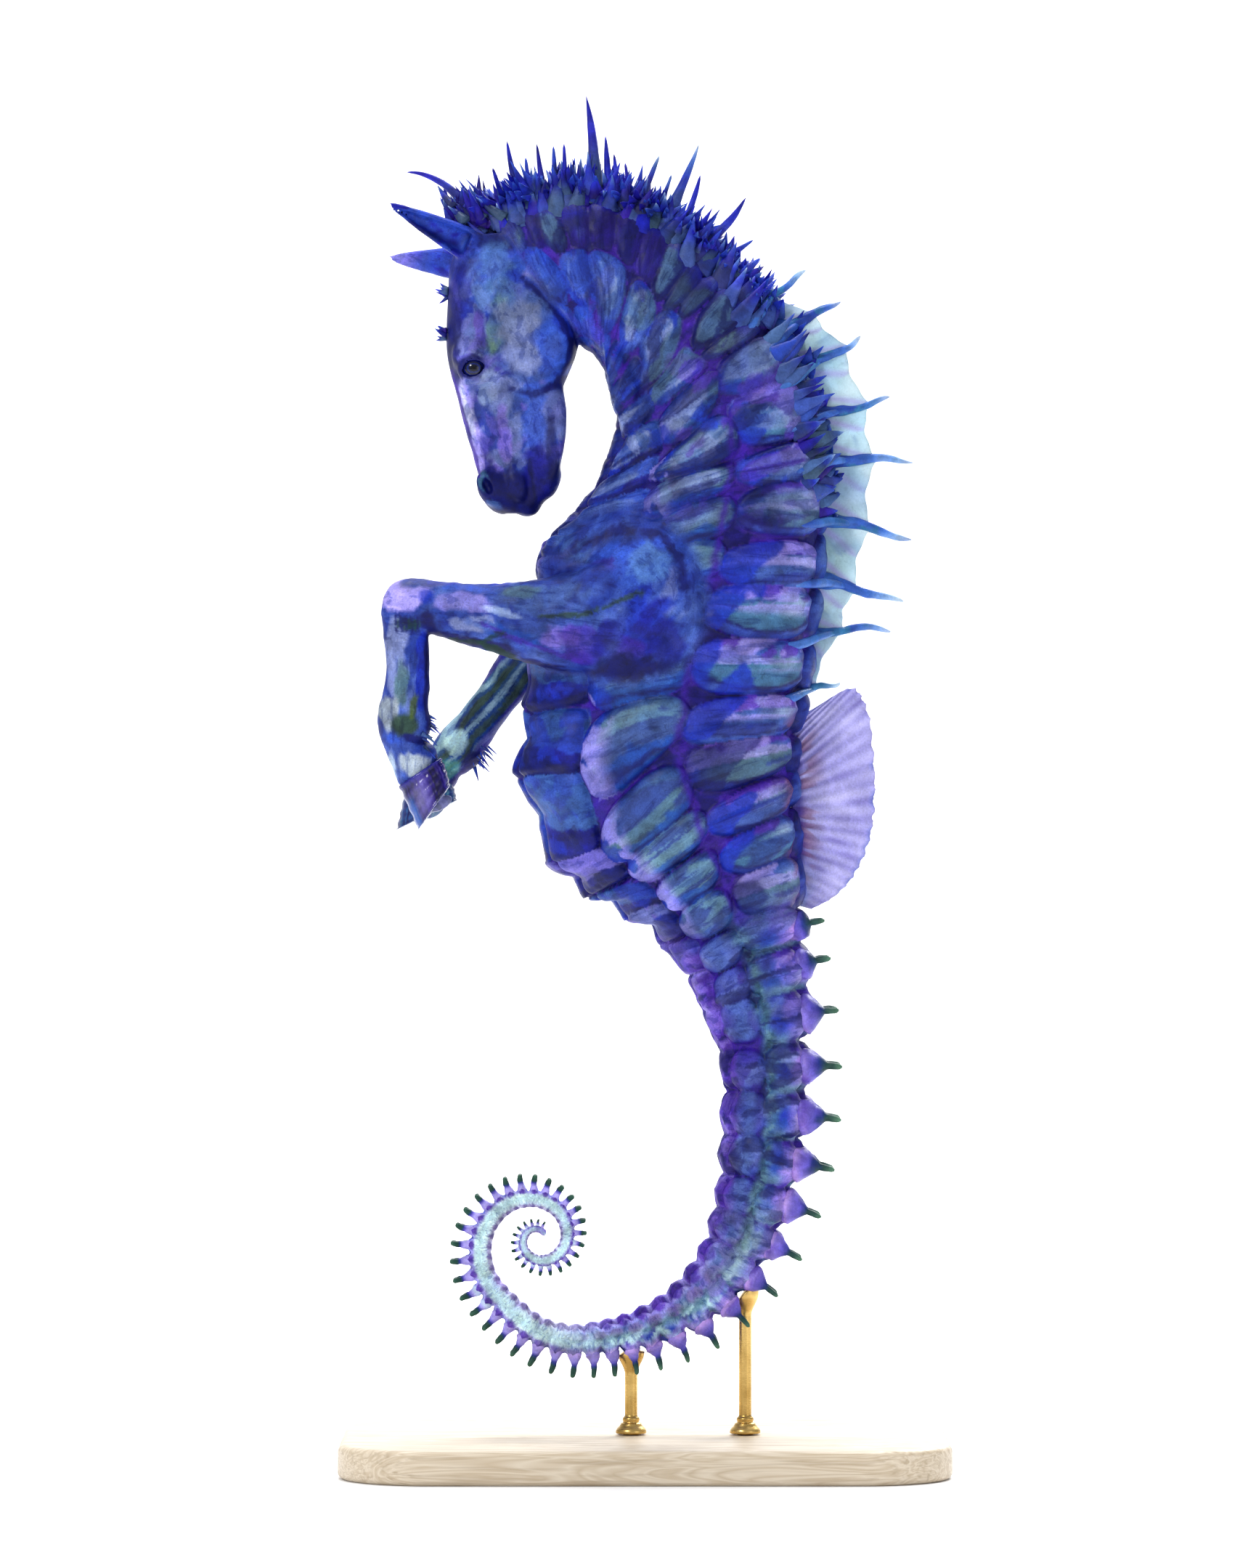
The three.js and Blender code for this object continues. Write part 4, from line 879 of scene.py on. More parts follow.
def paint_skin(points, plates, weights):
    at, around, height, tint = plates.at, plates.around, plates.height, plates.tint
    u, v, band = plates.u, plates.v, plates.band
    head, leg, ear = weights["head"], weights["leg"], weights["ear"]
    mottle = 0.5 * noise(points, 6, 11) + 0.35 * noise(points, 2.6, 12) + 0.25 * noise(points, 1.2, 13)
    streaks = plates.streaks
    # Lightness on the ramp: each plate's crown is painted lighter as a highlight and its edges darker as
    # shade, mixed with random tone and streaks.
    light = 0.04 + 0.46 * np.clip(height, 0, 1) + 0.28 * mottle + 0.24 * (tint - 0.5) + 0.22 * streaks
    paint = Paint(points, "neck", light)
    patch = paint.patches
    trunk = smooth(at, 6.5, 9)
    back = around < plates.ridge
    paint.cover("back", light, trunk * back)
    paint.cover("side", light, trunk * (band == 2))
    paint.cover("belly", 0.75 * light + 0.05, trunk * (band >= 3))
    crest = fade(at, 5.4, 7.2) * (band == 1) * smooth(at, -0.5, 0.6)
    paint.cover("crest", light - 0.2 + 0.2 * mottle, crest)
    crest_leaf = crest * fade(np.hypot((u + 0.05) / 0.72, v / 0.84) + 0.2 * mottle, 0.85, 1.0)
    paint.washes(crest_leaf, (
        ("dark_olive", 0.7 * (tint > 0.2)),
        ("moss_grey", 0.65 * (tint > 0.35)),
        ("slate", 0.5 * ((tint > 0.5) & (tint < 0.75))),
        ("moss", 0.35 * (tint > 0.85)),
    ))
    paint.washes(crest, (
        ("dark_violet", 0.45 * (tint < 0.25)),
        ("navy", 0.7 * patch(2.4, 22, 0.1, 0.2, stretch=(1, 1, 0.4))),
        ("indigo", 0.8 * smooth(-v + 0.3 * mottle, 0.1, 0.35)),
    ))
    # Plates of the back: a green-grey leaf with a pale painted highlight near its upper end and dark painted
    # shade along its lower edge, purple above, royal blue at the ridge.
    plated = smooth(at, 5.5, 8) * fade(at, 17.6, 19) * (1 - leg) * (1 - head)
    on_back = plated * (band == 1)
    leaf_edge = np.hypot((u - 0.12) / 0.6, (v - 0.02) / 0.86) + 0.16 * mottle
    leaf = fade(leaf_edge, 0.9, 1.0)
    above = smooth(-u + 0.3 * mottle, 0.42, 0.52)
    ridge_end = smooth(v + 0.45 * noise(points, 3.5, 27) - 0.15 * u, 0.4, 0.5)
    paint.washes(on_back, (
        ("slate", 0.75 * leaf * (tint < 0.34)),
        ("teal_grey", 0.8 * leaf * ((tint >= 0.34) & (tint < 0.72))),
        ("moss_grey", 0.8 * leaf * (tint >= 0.72)),
        ("indigo", 0.55 * leaf * smooth(streaks, 0.25, 0.32)),
        # pale: painted highlight near the upper end of the leaf
        ("pale", 0.6 * bell(v + 0.38 + 0.25 * mottle, 0.3) * bell(u + 0.22 + 0.2 * streaks, 0.22)),
        ("lavender", 0.6 * smooth(-streaks, 0.2, 0.28) * smooth(-u, -0.2, 0.1)),
        ("purple", 0.75 * above * patch(6, 23, -0.3, -0.2)),
        ("lavender", 0.6 * above * patch(5, 25, 0.15, 0.22)),
        # navy: painted shade along the leaf's lower edge
        ("navy", 0.9 * bell(leaf_edge - 1.0, 0.09) * smooth(u, 0.05, 0.4)),
        ("royal", 0.85 * ridge_end * (tint < 0.7)),
        ("navy", 0.7 * ridge_end * (tint >= 0.7)),
        ("rose", 0.6 * smooth(at, 13, 14) * smooth(-v, 0.35, 0.7) * patch(3, 29, 0.2, 0.3)),
    ))
    # Plates of the side: green-grey, with a pale painted highlight in the middle and painted shade in navy at
    # the lower edge; blue towards the lower edge and the belly.
    on_side = plated * (band == 2)
    low_edge = smooth(u + 0.35 * mottle, 0.3, 0.42)
    side_leaf = fade(np.hypot(u / 0.78, v / 0.9) + 0.15 * mottle, 0.9, 1.0)
    paint.washes(on_side, (
        ("sea_grey", 0.75 * side_leaf * (tint > 0.4)),
        ("moss_grey", 0.75 * side_leaf * (tint <= 0.4)),
        # steel: painted highlight in the upper middle of the plate
        ("steel", 0.6 * bell(v + 0.15 + 0.3 * mottle, 0.4) * bell(u + 0.25 + 0.2 * streaks, 0.25)),
        ("indigo", 0.6 * side_leaf * smooth(streaks, 0.24, 0.3)),
        ("deep_blue", 0.75 * low_edge),
        # navy: painted shade along the plate's lower edge
        ("navy", 0.85 * bell(u - 0.74 + 0.2 * mottle, 0.1)),
        ("royal", 0.65 * smooth(v + 0.3 * mottle, 0.5, 0.62)),
        ("lavender", 0.6 * smooth(v, 0.2, 0.6) * patch(5, 33, 0.15, 0.22)),
    ))
    # Plates of the belly: each painted as a lit facet, slate or lilac, above a shaded dark one, with painted
    # shade in navy at the lower edge and in the creases.
    painted_lit_facet = smooth(0.12 - u + 1.1 * (tint - 0.5) * v + 0.16 * mottle, -0.03, 0.03)
    paint.washes(plated * (band >= 3), (
        ("navy", 0.75),
        ("indigo", 0.7 * patch(6, 47, 0.0, 0.1)),
        ("slate", 0.6 * painted_lit_facet * (tint > 0.2)),
        ("blue", 0.45 * painted_lit_facet * (tint < 0.5)),
        ("lilac", 0.5 * painted_lit_facet * (tint > 0.45)),
        ("teal_grey", 0.3 * painted_lit_facet * patch(5, 46, 0.2, 0.3)),
        ("royal", 0.6 * (1 - painted_lit_facet) * patch(5, 48, 0.2, 0.28)),
        # navy: painted shade at each plate's lower edge and in the creases
        ("navy", 0.85 * smooth(u + 0.3 * mottle, 0.62, 0.7)),
        ("navy", 0.8 * fade(height, 0.1, 0.45)),
    ))
    # Neck: leaf-shaped plates with pale middles, partly a painted highlight, and long strokes down the
    # throat.
    neck = fade(at, 8, 10.5) * (1 - head) * (1 - crest)
    neck_leaf = fade(np.hypot((u + 0.1) / 0.62, v / 0.8) + 0.2 * mottle, 0.85, 1.0)
    paint.washes(neck, (
        ("slate", 0.6 * neck_leaf),
        ("grey_lilac", 0.6 * neck_leaf * patch(5, 35, -0.15, -0.05)),
        # pale: painted highlight in the middle of the leaf
        ("pale", 0.18 * neck_leaf * smooth(-streaks, 0.1, 0.25)),
        ("royal", 0.5 * fade(at, 2.5, 4.5) * patch(3, 34, 0.0, 0.1, stretch=(1, 1, 0.5))),
        ("royal", 0.6 * (1 - neck_leaf) * patch(4, 36, -0.1, 0)),
        ("navy", 0.65 * smooth(streaks, 0.26, 0.32)),
        ("purple", 0.5 * patch(6, 37, 0.42, 0.5)),
        ("moss_grey", 0.5 * (band == 2) * smooth(at, 2, 4) * patch(7, 39, 0.2, 0.3)),
        ("blue", 0.5 * fade(at, 1.5, 3) * patch(4, 40, -0.3, -0.1)),
        ("navy", 0.75 * smooth(around + 0.05 * mottle, 0.8, 0.9)),
    ))
    # Painted shade in the creases between plates: dark violet and purple, violet and navy where deepest; then
    # a violet line along the side ridge.
    crease = fade(height + 0.1 * mottle, 0.0, 0.42)
    bare = np.clip(head + leg, 0, 1)
    quiet = smooth(shoulder_distance(points), 17, 22) * (1 - bare)
    crease = crease * (at < 29) * (1 - 0.75 * crest)
    deep_crease = fade(height + 0.08 * mottle, -0.15, 0.12) * (at < 29) * (1 - 0.6 * crest)
    paint.washes(quiet, (
        ("dark_violet", 0.85 * crease * patch(7, 41, -0.3, -0.2)),
        ("purple", 0.7 * crease * patch(5, 43, -0.25, -0.15)),
        ("violet", 0.8 * deep_crease),
        ("navy", 0.8 * deep_crease * patch(6, 45, 0.0, 0.12)),
        ("violet", 0.85 * bell(around - plates.ridge + 0.012 * mottle, 0.011) * plated),
    ))
    paint_tail(paint, plates, mottle)
    paint_shoulder(paint, points, quiet, bare, mottle)
    paint_legs(paint, points, leg, mottle)
    paint_head(paint, points, head, ear, mottle)
    return paint.rgb


def paint_tail(paint, plates, mottle):
    """Lavender lobes outside, blue ovals, a green line along the flank, violet plates inside; a pale coil."""
    patch = paint.patches
    at, around, height, tint = plates.at, plates.around, plates.height, plates.tint
    place = plates.ring_place()
    tail = smooth(at, 17.3, 18.8)
    streaks = plates.streaks
    # Lightness on the ramp: raised parts are painted lighter as a highlight and low parts darker as shade,
    # mixed with random tone and streaks.
    light = 0.02 + 0.5 * np.clip(height, 0, 1) + 0.3 * mottle + 0.2 * (tint - 0.5) + 0.2 * streaks
    low = smooth(at, 23.5, 27.5)
    coil = smooth(at, 29.5, 32.5)
    paint.cover("tail", light, tail)
    paint.cover("bend", light, low)
    # Each outer lobe: lilac, with a painted highlight of pink and white in its middle, a dark point at the
    # thorn, a blue end inwards and a grey-green wedge above.
    lobe = tail * fade(around + 0.04 * mottle, 0.33, 0.37)
    lobe_light = bell(place + 0.05, 0.26) * bell(around - 0.2, 0.1)
    paint.washes(lobe, (
        ("lilac", 0.75 * patch(6, 59, -0.5, -0.35)),
        ("lavender", 0.5 * low),
        # pink and white: painted highlight on the middle of the lobe
        ("pink", 0.8 * lobe_light * patch(6, 61, -0.1, 0.05)),
        ("white", 0.4 * lobe_light * patch(4, 62, 0.1, 0.25)),
        ("violet", 0.85 * smooth(np.abs(place + 0.04 * streaks) + 0.05 * mottle, 0.34, 0.4)),
        ("sea_grey", 0.85 * bell(place - 0.42 + 0.05 * mottle, 0.09) * patch(5, 60, -0.3, -0.2)),
        ("dark_violet", 0.8 * fade(around, 0.05, 0.12) * patch(3, 64, -0.4, -0.2)),
    ))
    paint.washes(tail * bell(around - 0.38, 0.075), (
        ("royal", bell(place + 0.1 * mottle, 0.32) * patch(4, 63, -0.5, -0.4)),
        ("deep_blue", 0.7 * (1 - low) * bell(place - 0.1, 0.2) * patch(3, 57, -0.1, 0.0)),
        ("sea_grey", 0.7 * bell(place - 0.4, 0.15)),
    ))
    paint.washes(tail * bell(around - 0.48 + 0.06 * mottle, 0.045), (
        ("teal_grey", 0.7),
        ("dark_green", 0.5 * patch(2.6, 66, 0.0, 0.1)),
        ("sea_grey", 0.7 * patch(3, 67, 0.1, 0.2)),
    ))
    paint.washes(tail * smooth(around + 0.03 * mottle, 0.53, 0.57), (
        ("dark_violet", 0.6 * patch(4, 69, -0.1, 0.0)),
        ("slate", 0.8 * bell(around - 0.62, 0.06) * smooth(height, 0.3, 0.6) * (tint > 0.25)),
        ("purple", 0.75 * smooth(around + 0.04 * mottle, 0.7, 0.76)),
        ("lilac", 0.6 * smooth(around, 0.72, 0.8) * patch(3, 68, 0.1, 0.2)),
        # violet: painted shade in the creases of the inner plates
        ("violet", 0.8 * fade(height + 0.1 * mottle, 0.1, 0.3)),
    ))
    seam = tail * (1 - low) * smooth(around, 0.74, 0.8) * bell(np.abs(place) - 0.5, 0.1)
    paint.wash("lavender", 0.6 * seam * patch(4, 58, -0.2, -0.1))
    paint.wash("navy", 0.7 * tail * (1 - low) * smooth(streaks, 0.28, 0.34))
    # Below, the inner plates are purple and the outer lobes blue with a pale web between.
    bend = low * (1 - coil)
    paint.wash("lilac", 0.6 * bend * patch(3, 74, -0.1, 0.1))
    blob = fade(np.hypot(place / 0.42, (around - 0.82) / 0.2) + 0.1 * mottle, 0.8, 1.0)
    paint.washes(bend, (
        ("purple", 0.85 * blob),
        ("dark_violet", 0.6 * blob * patch(2.4, 70, 0, 0.15)),
        ("lavender", 0.7 * (1 - blob) * smooth(around, 0.6, 0.7) * patch(3, 78, -0.4, -0.3)),
    ))
    small = fade(np.hypot((np.abs(place) - 0.5) / 0.4, (around - 0.57) / 0.09) + 0.1 * mottle, 0.8, 1.0)
    paint.washes(bend, (
        ("mauve", 0.8 * small),
        ("aqua", 0.8 * bell(around - 0.42, 0.09) * patch(3, 71, -0.3, -0.2)),
        ("sea_grey", 0.6 * bell(around - 0.5, 0.06) * patch(2, 76, -0.1, 0.1)),
        ("blue", 0.6 * fade(around, 0.16, 0.26) * patch(3, 73, -0.1, 0)),
    ))
    # The coil is painted a little lighter on its raised parts, as a highlight, over random mottle.
    paint.cover("coil", 0.55 + 0.4 * mottle + 0.2 * height, coil)
    paint.washes(coil, (
        ("aqua", 0.75 * bell(around - 0.5, 0.14)),
        ("pink", 0.35 * smooth(around, 0.66, 0.8)),
        ("lavender", 0.8 * fade(around + 0.05 * mottle, 0.3, 0.38)),
    ))
    for centre, width, strength, name in ((0.3, 0.08, 0.9, "purple"), (0.8, 0.14, 0.95, "mauve")):
        dot = fade(np.hypot(place / 0.32, (around - centre) / width), 0.75, 1.1)
        paint.wash(name, strength * coil * dot)
    paint.wash("blue", 0.5 * coil * fade(around, 0.1, 0.16) * patch(2, 72, -0.2, 0))
    tip = smooth(at, 50, 55)
    paint.wash("purple", 0.55 * tip * patch(1.5, 75, -0.1, 0.2))


def paint_shoulder(paint, points, quiet, bare, mottle):
    near = (1 - quiet) * (1 - bare) * (np.abs(points[:, 1]) > 4)
    paint.cover("leg", 0.32 + 0.4 * mottle, near)
    paint.spots(near, (
        ("blue", (-5, 211), (10, 5), 0.7, 15),
        ("violet", (-10, 210.5), (4, 2.4), 0.6),
        ("steel", (0.6, 211), (4.4, 3.6), 0.6, -20),
        ("grey_lilac", (5.4, 205), (1.6, 5), 0.45, -12),
        ("royal", (-2, 197), (8, 6), 0.8),
        ("indigo", (4, 194), (5, 6), 0.7),
        ("violet", (-9, 193), (7, 3), 0.6, -10),
        ("navy", (-6, 187), (14, 3), 0.9, 6),
        ("navy", (-14.6, 211), (2.6, 1.8), 0.8),
        ("teal_grey", (-14, 205), (5, 2.6), 0.6),
    ))
    rim = [(-21, 208), (-15, 215.5), (-6, 219.4), (3, 218.4), (8, 213), (9, 206)]
    paint.stroke(1 - bare, "navy", rim, 1.1, 0.85)
    breast = bell(np.hypot((points[:, 0] + 18) / 7, (points[:, 2] - 212) / 7), 1)
    paint.wash("steel", 0.5 * breast * (1 - bare) * paint.patches(4, 77, 0, 0.2))


def paint_legs(paint, points, leg, mottle):
    x, y, z = points.T
    left = leg * smooth(-y, 0, 3)
    right = leg * smooth(y, 0, 3)
    paint.cover("leg", 0.34 + 0.45 * mottle, left)
    paint.spots(left, (
        ("blue", (-37, 206), (9, 1.4), 0.7),
        ("lavender", (-56.6, 204), (4.6, 3), 0.9),
        # Painted highlight in lavender along the forearm.
        ("lavender", (-42, 202.4), (6, 2), 0.5, -6),
        ("royal", (-50.6, 204.2), (2, 1.8), 0.7),
        ("slate", (-25, 203.6), (8.5, 3), 0.85, 2),
        ("moss_grey", (-29, 204.8), (4, 1.4), 0.6, 2),
        # Painted highlight: a pale streak along the forearm.
        ("pale", (-33, 200), (5, 0.8), 0.4, -15),
        ("grey_lilac", (-39, 197.4), (5, 1.4), 0.8, -4),
        ("deep_blue", (-31, 195), (8, 1.4), 0.6, -16),
        ("slate", (-20, 197), (9, 3.4), 0.5, -6),
        ("lilac", (-20, 194.4), (5.4, 2.4), 0.6, -10),
        ("violet", (-14, 192.4), (5, 3.4), 0.6, -20),
        ("indigo", (-5, 195), (7, 5.6), 0.8),
        ("navy", (-50.2, 198), (1.8, 2.4), 0.95, 20),
        ("navy", (-40, 193.4), (9, 1.1), 0.9, -12),
        ("navy", (-22, 186.6), (12, 1.6), 0.95, -12),
        ("dark_green", (-33.6, 190.8), (5.2, 0.8), 0.8, -26),
        ("grey_lilac", (-57.6, 190), (2.4, 7), 0.8),
        ("moss_grey", (-56.4, 183.6), (1.6, 5), 0.8),
        ("royal", (-51.6, 187), (1.3, 9.5), 0.95),
        ("navy", (-50.4, 186), (0.7, 11), 0.85),
        ("dark_green", (-55.4, 197.4), (3.6, 1.2), 0.75),
        ("pale_grey", (-60, 177), (2.6, 3.4), 0.85),
        ("dark_olive", (-55.6, 174.6), (2.6, 2.6), 0.9),
        ("olive", (-53.8, 177.2), (0.7, 2.6), 0.8, -8),
        ("navy", (-53, 170.6), (3, 0.9), 0.85, -14),
        ("blue", (-58.2, 170.6), (2.2, 0.9), 0.7, -14),
        ("pale_grey", (-54.2, 164.8), (3, 3), 0.95),
        ("pale", (-59, 164), (1.2, 4), 0.8),
    ))
    elbow = [(-24.3, 199), (-14, 199.5), (-8.3, 201.6), (-1, 204.7)]
    paint.stroke(y < 0, "dark_olive", elbow, 0.5, 0.85)
    paint.strokes(left, (
        ("royal", [(-50, 207), (-42, 207.4), (-32, 206.6)], 0.6, 0.8),
        ("violet", [(-38, 197.6), (-30, 193.8), (-22, 191), (-15, 188.6)], 0.5, 0.7),
        ("dark_green", [(-45, 193.8), (-38.2, 193), (-33, 195.4)], 0.5, 0.75),
    ))
    for x_stroke in (-57.8, -56.6, -55.5, -54.1, -52.8):
        paint.stroke(left, "navy", [(x_stroke, 199), (x_stroke + 0.2, 195.6)], 0.3, 0.8)
    # The far leg is striped along its cannon.
    along, across = rotated(x + 36, z - 179.5, 50)
    paint.cover("far_leg", 0.4 + 0.3 * mottle, right)
    wave = np.sin(across * 1.35 + 3.4 * noise(points, 6, 79) + 0.06 * along)
    cannon = right * fade(along, 14, 18)
    paint.washes(cannon, (
        ("deep_blue", 0.5 * paint.patches(4, 80, 0.0, 0.15)),
        ("olive", 0.7 * smooth(wave, 0.3, 0.6)),
        ("aqua", 0.5 * smooth(-wave, 0.5, 0.8)),
        ("violet", 0.7 * smooth(np.abs(across - 0.5) + mottle, 3.6, 4.6)),
    ))
    paint.wash("indigo", 0.8 * right * smooth(z, 186, 194))
    paint.spots(right, (
        ("aqua", (-44, 169.5), (3.5, 2.6), 0.7),
        ("navy", (-40, 166.5), (3, 2), 0.8),
        ("sea", (-48.5, 163.5), (4, 2.6), 0.6),
    ))


def paint_head(paint, points, head, ear, mottle):
    patch = paint.patches
    x, y, z = points.T
    paint.cover("head", 0.36 + 0.5 * mottle + 0.06 * smooth(260 - z, 0, 15), head)
    for name, size, seed, low, strength in (
        ("navy", 5, 201, 0.22, 0.45), ("royal", 4, 203, 0.12, 0.5), ("slate", 4, 205, 0.1, 0.55),
        ("lilac", 4.5, 207, 0.22, 0.45), ("indigo", 3, 209, 0.25, 0.45), ("grey_lilac", 3.4, 211, 0.18, 0.45),
    ):
        paint.wash(name, strength * head * patch(size, seed, low, low + 0.08))
    paint.wash("navy", 0.8 * head * smooth(z + 0.35 * (x + 30) + 3 * mottle, 280, 287))
    paint.spots(head, (
        ("blue", (-36, 283), (9, 5), 0.6),
        ("navy", (-30, 288), (9, 3.4), 0.7),
        ("steel", (-38.4, 275), (2.4, 4.5), 0.45),
        ("steel", (-35, 281), (4, 5), 0.5),
        ("moss_grey", (-33.4, 268), (2.6, 7), 0.8, -14),
        ("moss", (-34.4, 265.5), (1.0, 5), 0.6, -14),
        ("slate", (-26, 265), (8, 10), 0.7),
        ("grey", (-29, 266.6), (4.6, 6.4), 0.7),
        ("grey_lilac", (-27.4, 261), (5.4, 5.4), 0.75),
        ("blue", (-20.5, 262), (3.8, 8), 0.75, 6),
        ("royal", (-18.6, 270), (3, 6), 0.6, 20),
        ("purple", (-38.4, 265.5), (1.2, 4.6), 0.5, 8),
        # Painted highlight down the bridge of the nose: lavender and white.
        ("lavender", (-41.8, 249), (1.7, 8), 0.8, 14),
        ("white", (-41.2, 246), (0.9, 7.5), 0.45, 14),
        ("pale", (-36.4, 252.5), (2, 3), 0.45),
        ("grey_lilac", (-33.4, 250), (3, 5), 0.6),
        ("lilac", (-32.8, 242), (1.4, 5.4), 0.6, 6),
        ("grey_lilac", (-29.8, 241.5), (1.4, 5), 0.5),
        ("blue", (-25.6, 246), (2.6, 7), 0.6),
        # Painted highlight on the lower ridge of the nose.
        ("lavender", (-39, 237), (1.4, 4.4), 0.7, 12),
        ("navy", (-31, 228), (9, 6.4), 0.9),
        ("indigo", (-24, 232), (4, 6), 0.8),
        ("teal_grey", (-37.6, 231), (1.4, 2.2), 0.6),
        ("steel", (-35.6, 225.6), (1.8, 0.7), 0.4, -30),
        ("navy", (-21.6, 238), (1.6, 7), 0.7),
        ("navy", (-45.2, 262), (1.4, 12), 0.7, 4),
        ("indigo", (-43.6, 276), (2.4, 7), 0.6),
        # Painted shadow behind the cheek, along the jaw.
        ("navy", (-16.4, 264), (1.6, 9), 0.9, 8),
        ("navy", (-19, 254.4), (5, 1.6), 0.85, 30),
        ("navy", (-40.4, 257.4), (3.7, 2.7), 0.85, 10),
        ("navy", (-45, 268), (1.6, 9), 0.7, 4),
    ))
    paint.strokes(head, (
        # Painted shade in navy under the cheek.
        ("navy", [(-31.4, 252.6), (-26, 251), (-21, 253.6), (-17.6, 258.5)], 0.7, 0.75),
        ("royal", [(-31, 279), (-25.6, 276), (-21, 271.6), (-17.6, 265)], 1.3, 0.7),
        # Painted shadow in navy along the back edge of the cheek.
        ("navy", [(-28.5, 278), (-24, 274), (-19.6, 268.6), (-17.2, 263.5), (-18, 258.5)], 0.75, 0.85),
        ("violet", [(-45.2, 257), (-42.6, 247), (-40, 238), (-38.8, 232)], 0.45, 0.8),
        ("navy", [(-26.4, 223.4), (-25.6, 227), (-26.2, 231.5), (-27.2, 235.8)], 0.5, 0.85),
        ("grey_lilac", [(-43, 260.2), (-40.6, 261.2), (-38, 260)], 0.4, 0.6),
        ("grey_lilac", [(-42.4, 253.9), (-40, 253.6), (-37.8, 254.6)], 0.35, 0.55),
    ))
    paint.spot(head, "navy", (-36.8, 229.9), (1.2, 2), 0.9, 24)
    paint.cover("mane", 0.42 + 0.3 * mottle, ear)
    tips = smooth(-x, 50, 60)
    paint.washes(ear, (
        ("blue", 0.7 * patch(2.4, 81, -0.1, 0.2, stretch=(0.4, 1, 1))),
        ("lavender", 0.7 * tips * (y > 0)),
        ("navy", 0.8 * bell(z - 286.5 + 0.4 * (x + 45), 1.2) * (y < 0)),
    ))


# ---- Meshes ----
def mesh_object(name, vertices, faces, material, paint=None):
    """A smooth-shaded object from vertices in millimetres, with a colour for each vertex."""
    mesh = bpy.data.meshes.new(name)
    vertices = np.asarray(vertices, float) * MM
    if isinstance(faces, np.ndarray):
        mesh.vertices.add(len(vertices))
        mesh.vertices.foreach_set("co", vertices.ravel())
        sides = faces.shape[1]
        mesh.loops.add(faces.size)
        mesh.loops.foreach_set("vertex_index", faces.ravel().astype(np.int32))
        mesh.polygons.add(len(faces))
        mesh.polygons.foreach_set("loop_start", np.arange(0, faces.size, sides, dtype=np.int32))
        mesh.update(calc_edges=True)
    else:
        mesh.from_pydata(vertices.tolist(), [], faces)
    mesh.validate()
    mesh.polygons.foreach_set("use_smooth", [True] * len(mesh.polygons))
    obj = bpy.data.objects.new(name, mesh)
    bpy.context.scene.collection.objects.link(obj)
    if material:
        mesh.materials.append(material)
    if paint is not None:
        set_paint(obj, paint)
    return obj


def set_flow(obj, flow):
    attribute = obj.data.attributes.new("flow", "FLOAT_VECTOR", "POINT")
    attribute.data.foreach_set("vector", flow.astype(np.float32).ravel())


def set_paint(obj, rgb):
    attribute = obj.data.attributes.new("paint", "FLOAT_COLOR", "POINT")
    rgba = np.ones((len(rgb), 4), np.float32)
    rgba[:, :3] = np.clip(rgb, 0, 1)
    attribute.data.foreach_set("color", rgba.ravel())


def vertices_of(obj):
    flat = np.zeros(len(obj.data.vertices) * 3)
    obj.data.vertices.foreach_get("co", flat)
    return flat.reshape(-1, 3) / MM


def finished(obj, slot, *nodes):
    """Puts a piece on the model, in place of CAD nodes."""
    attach(obj, "root")
    if nodes:
        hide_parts(*nodes)


def reduce_to(obj, triangles):
    """Collapses edges where the mesh is flattest until it has that many triangles."""
    count = sum(len(p.vertices) - 2 for p in obj.data.polygons)
    modifier = obj.modifiers.new("reduce", "DECIMATE")
    modifier.ratio = min(1, triangles / count)
    graph = bpy.context.evaluated_depsgraph_get()
    reduced = bpy.data.meshes.new_from_object(obj.evaluated_get(graph))
    obj.modifiers.clear()
    obj.data = reduced


def sculpted(shape, low, high, step, rounds=2):
    """Vertices and faces of the surface of one shape."""
    volume = Volume(low, high, step)
    volume.add(shape, low, high, 0.01)
    return volume.surface(rounds)


def sheet_faces(rows, columns, wrapped=False):
    """Quads of a grid of vertices, row by row."""
    faces = []
    for i in range(rows - 1):
        for k in range(columns if wrapped else columns - 1):
            a, b = i * columns + k, i * columns + (k + 1) % columns
            faces.append((a, b, b + columns, a + columns))
    return faces


def bezier(a, b, c, u):
    u = u[:, None]
    return (1 - u) ** 2 * a + 2 * u * (1 - u) * b + u**2 * c


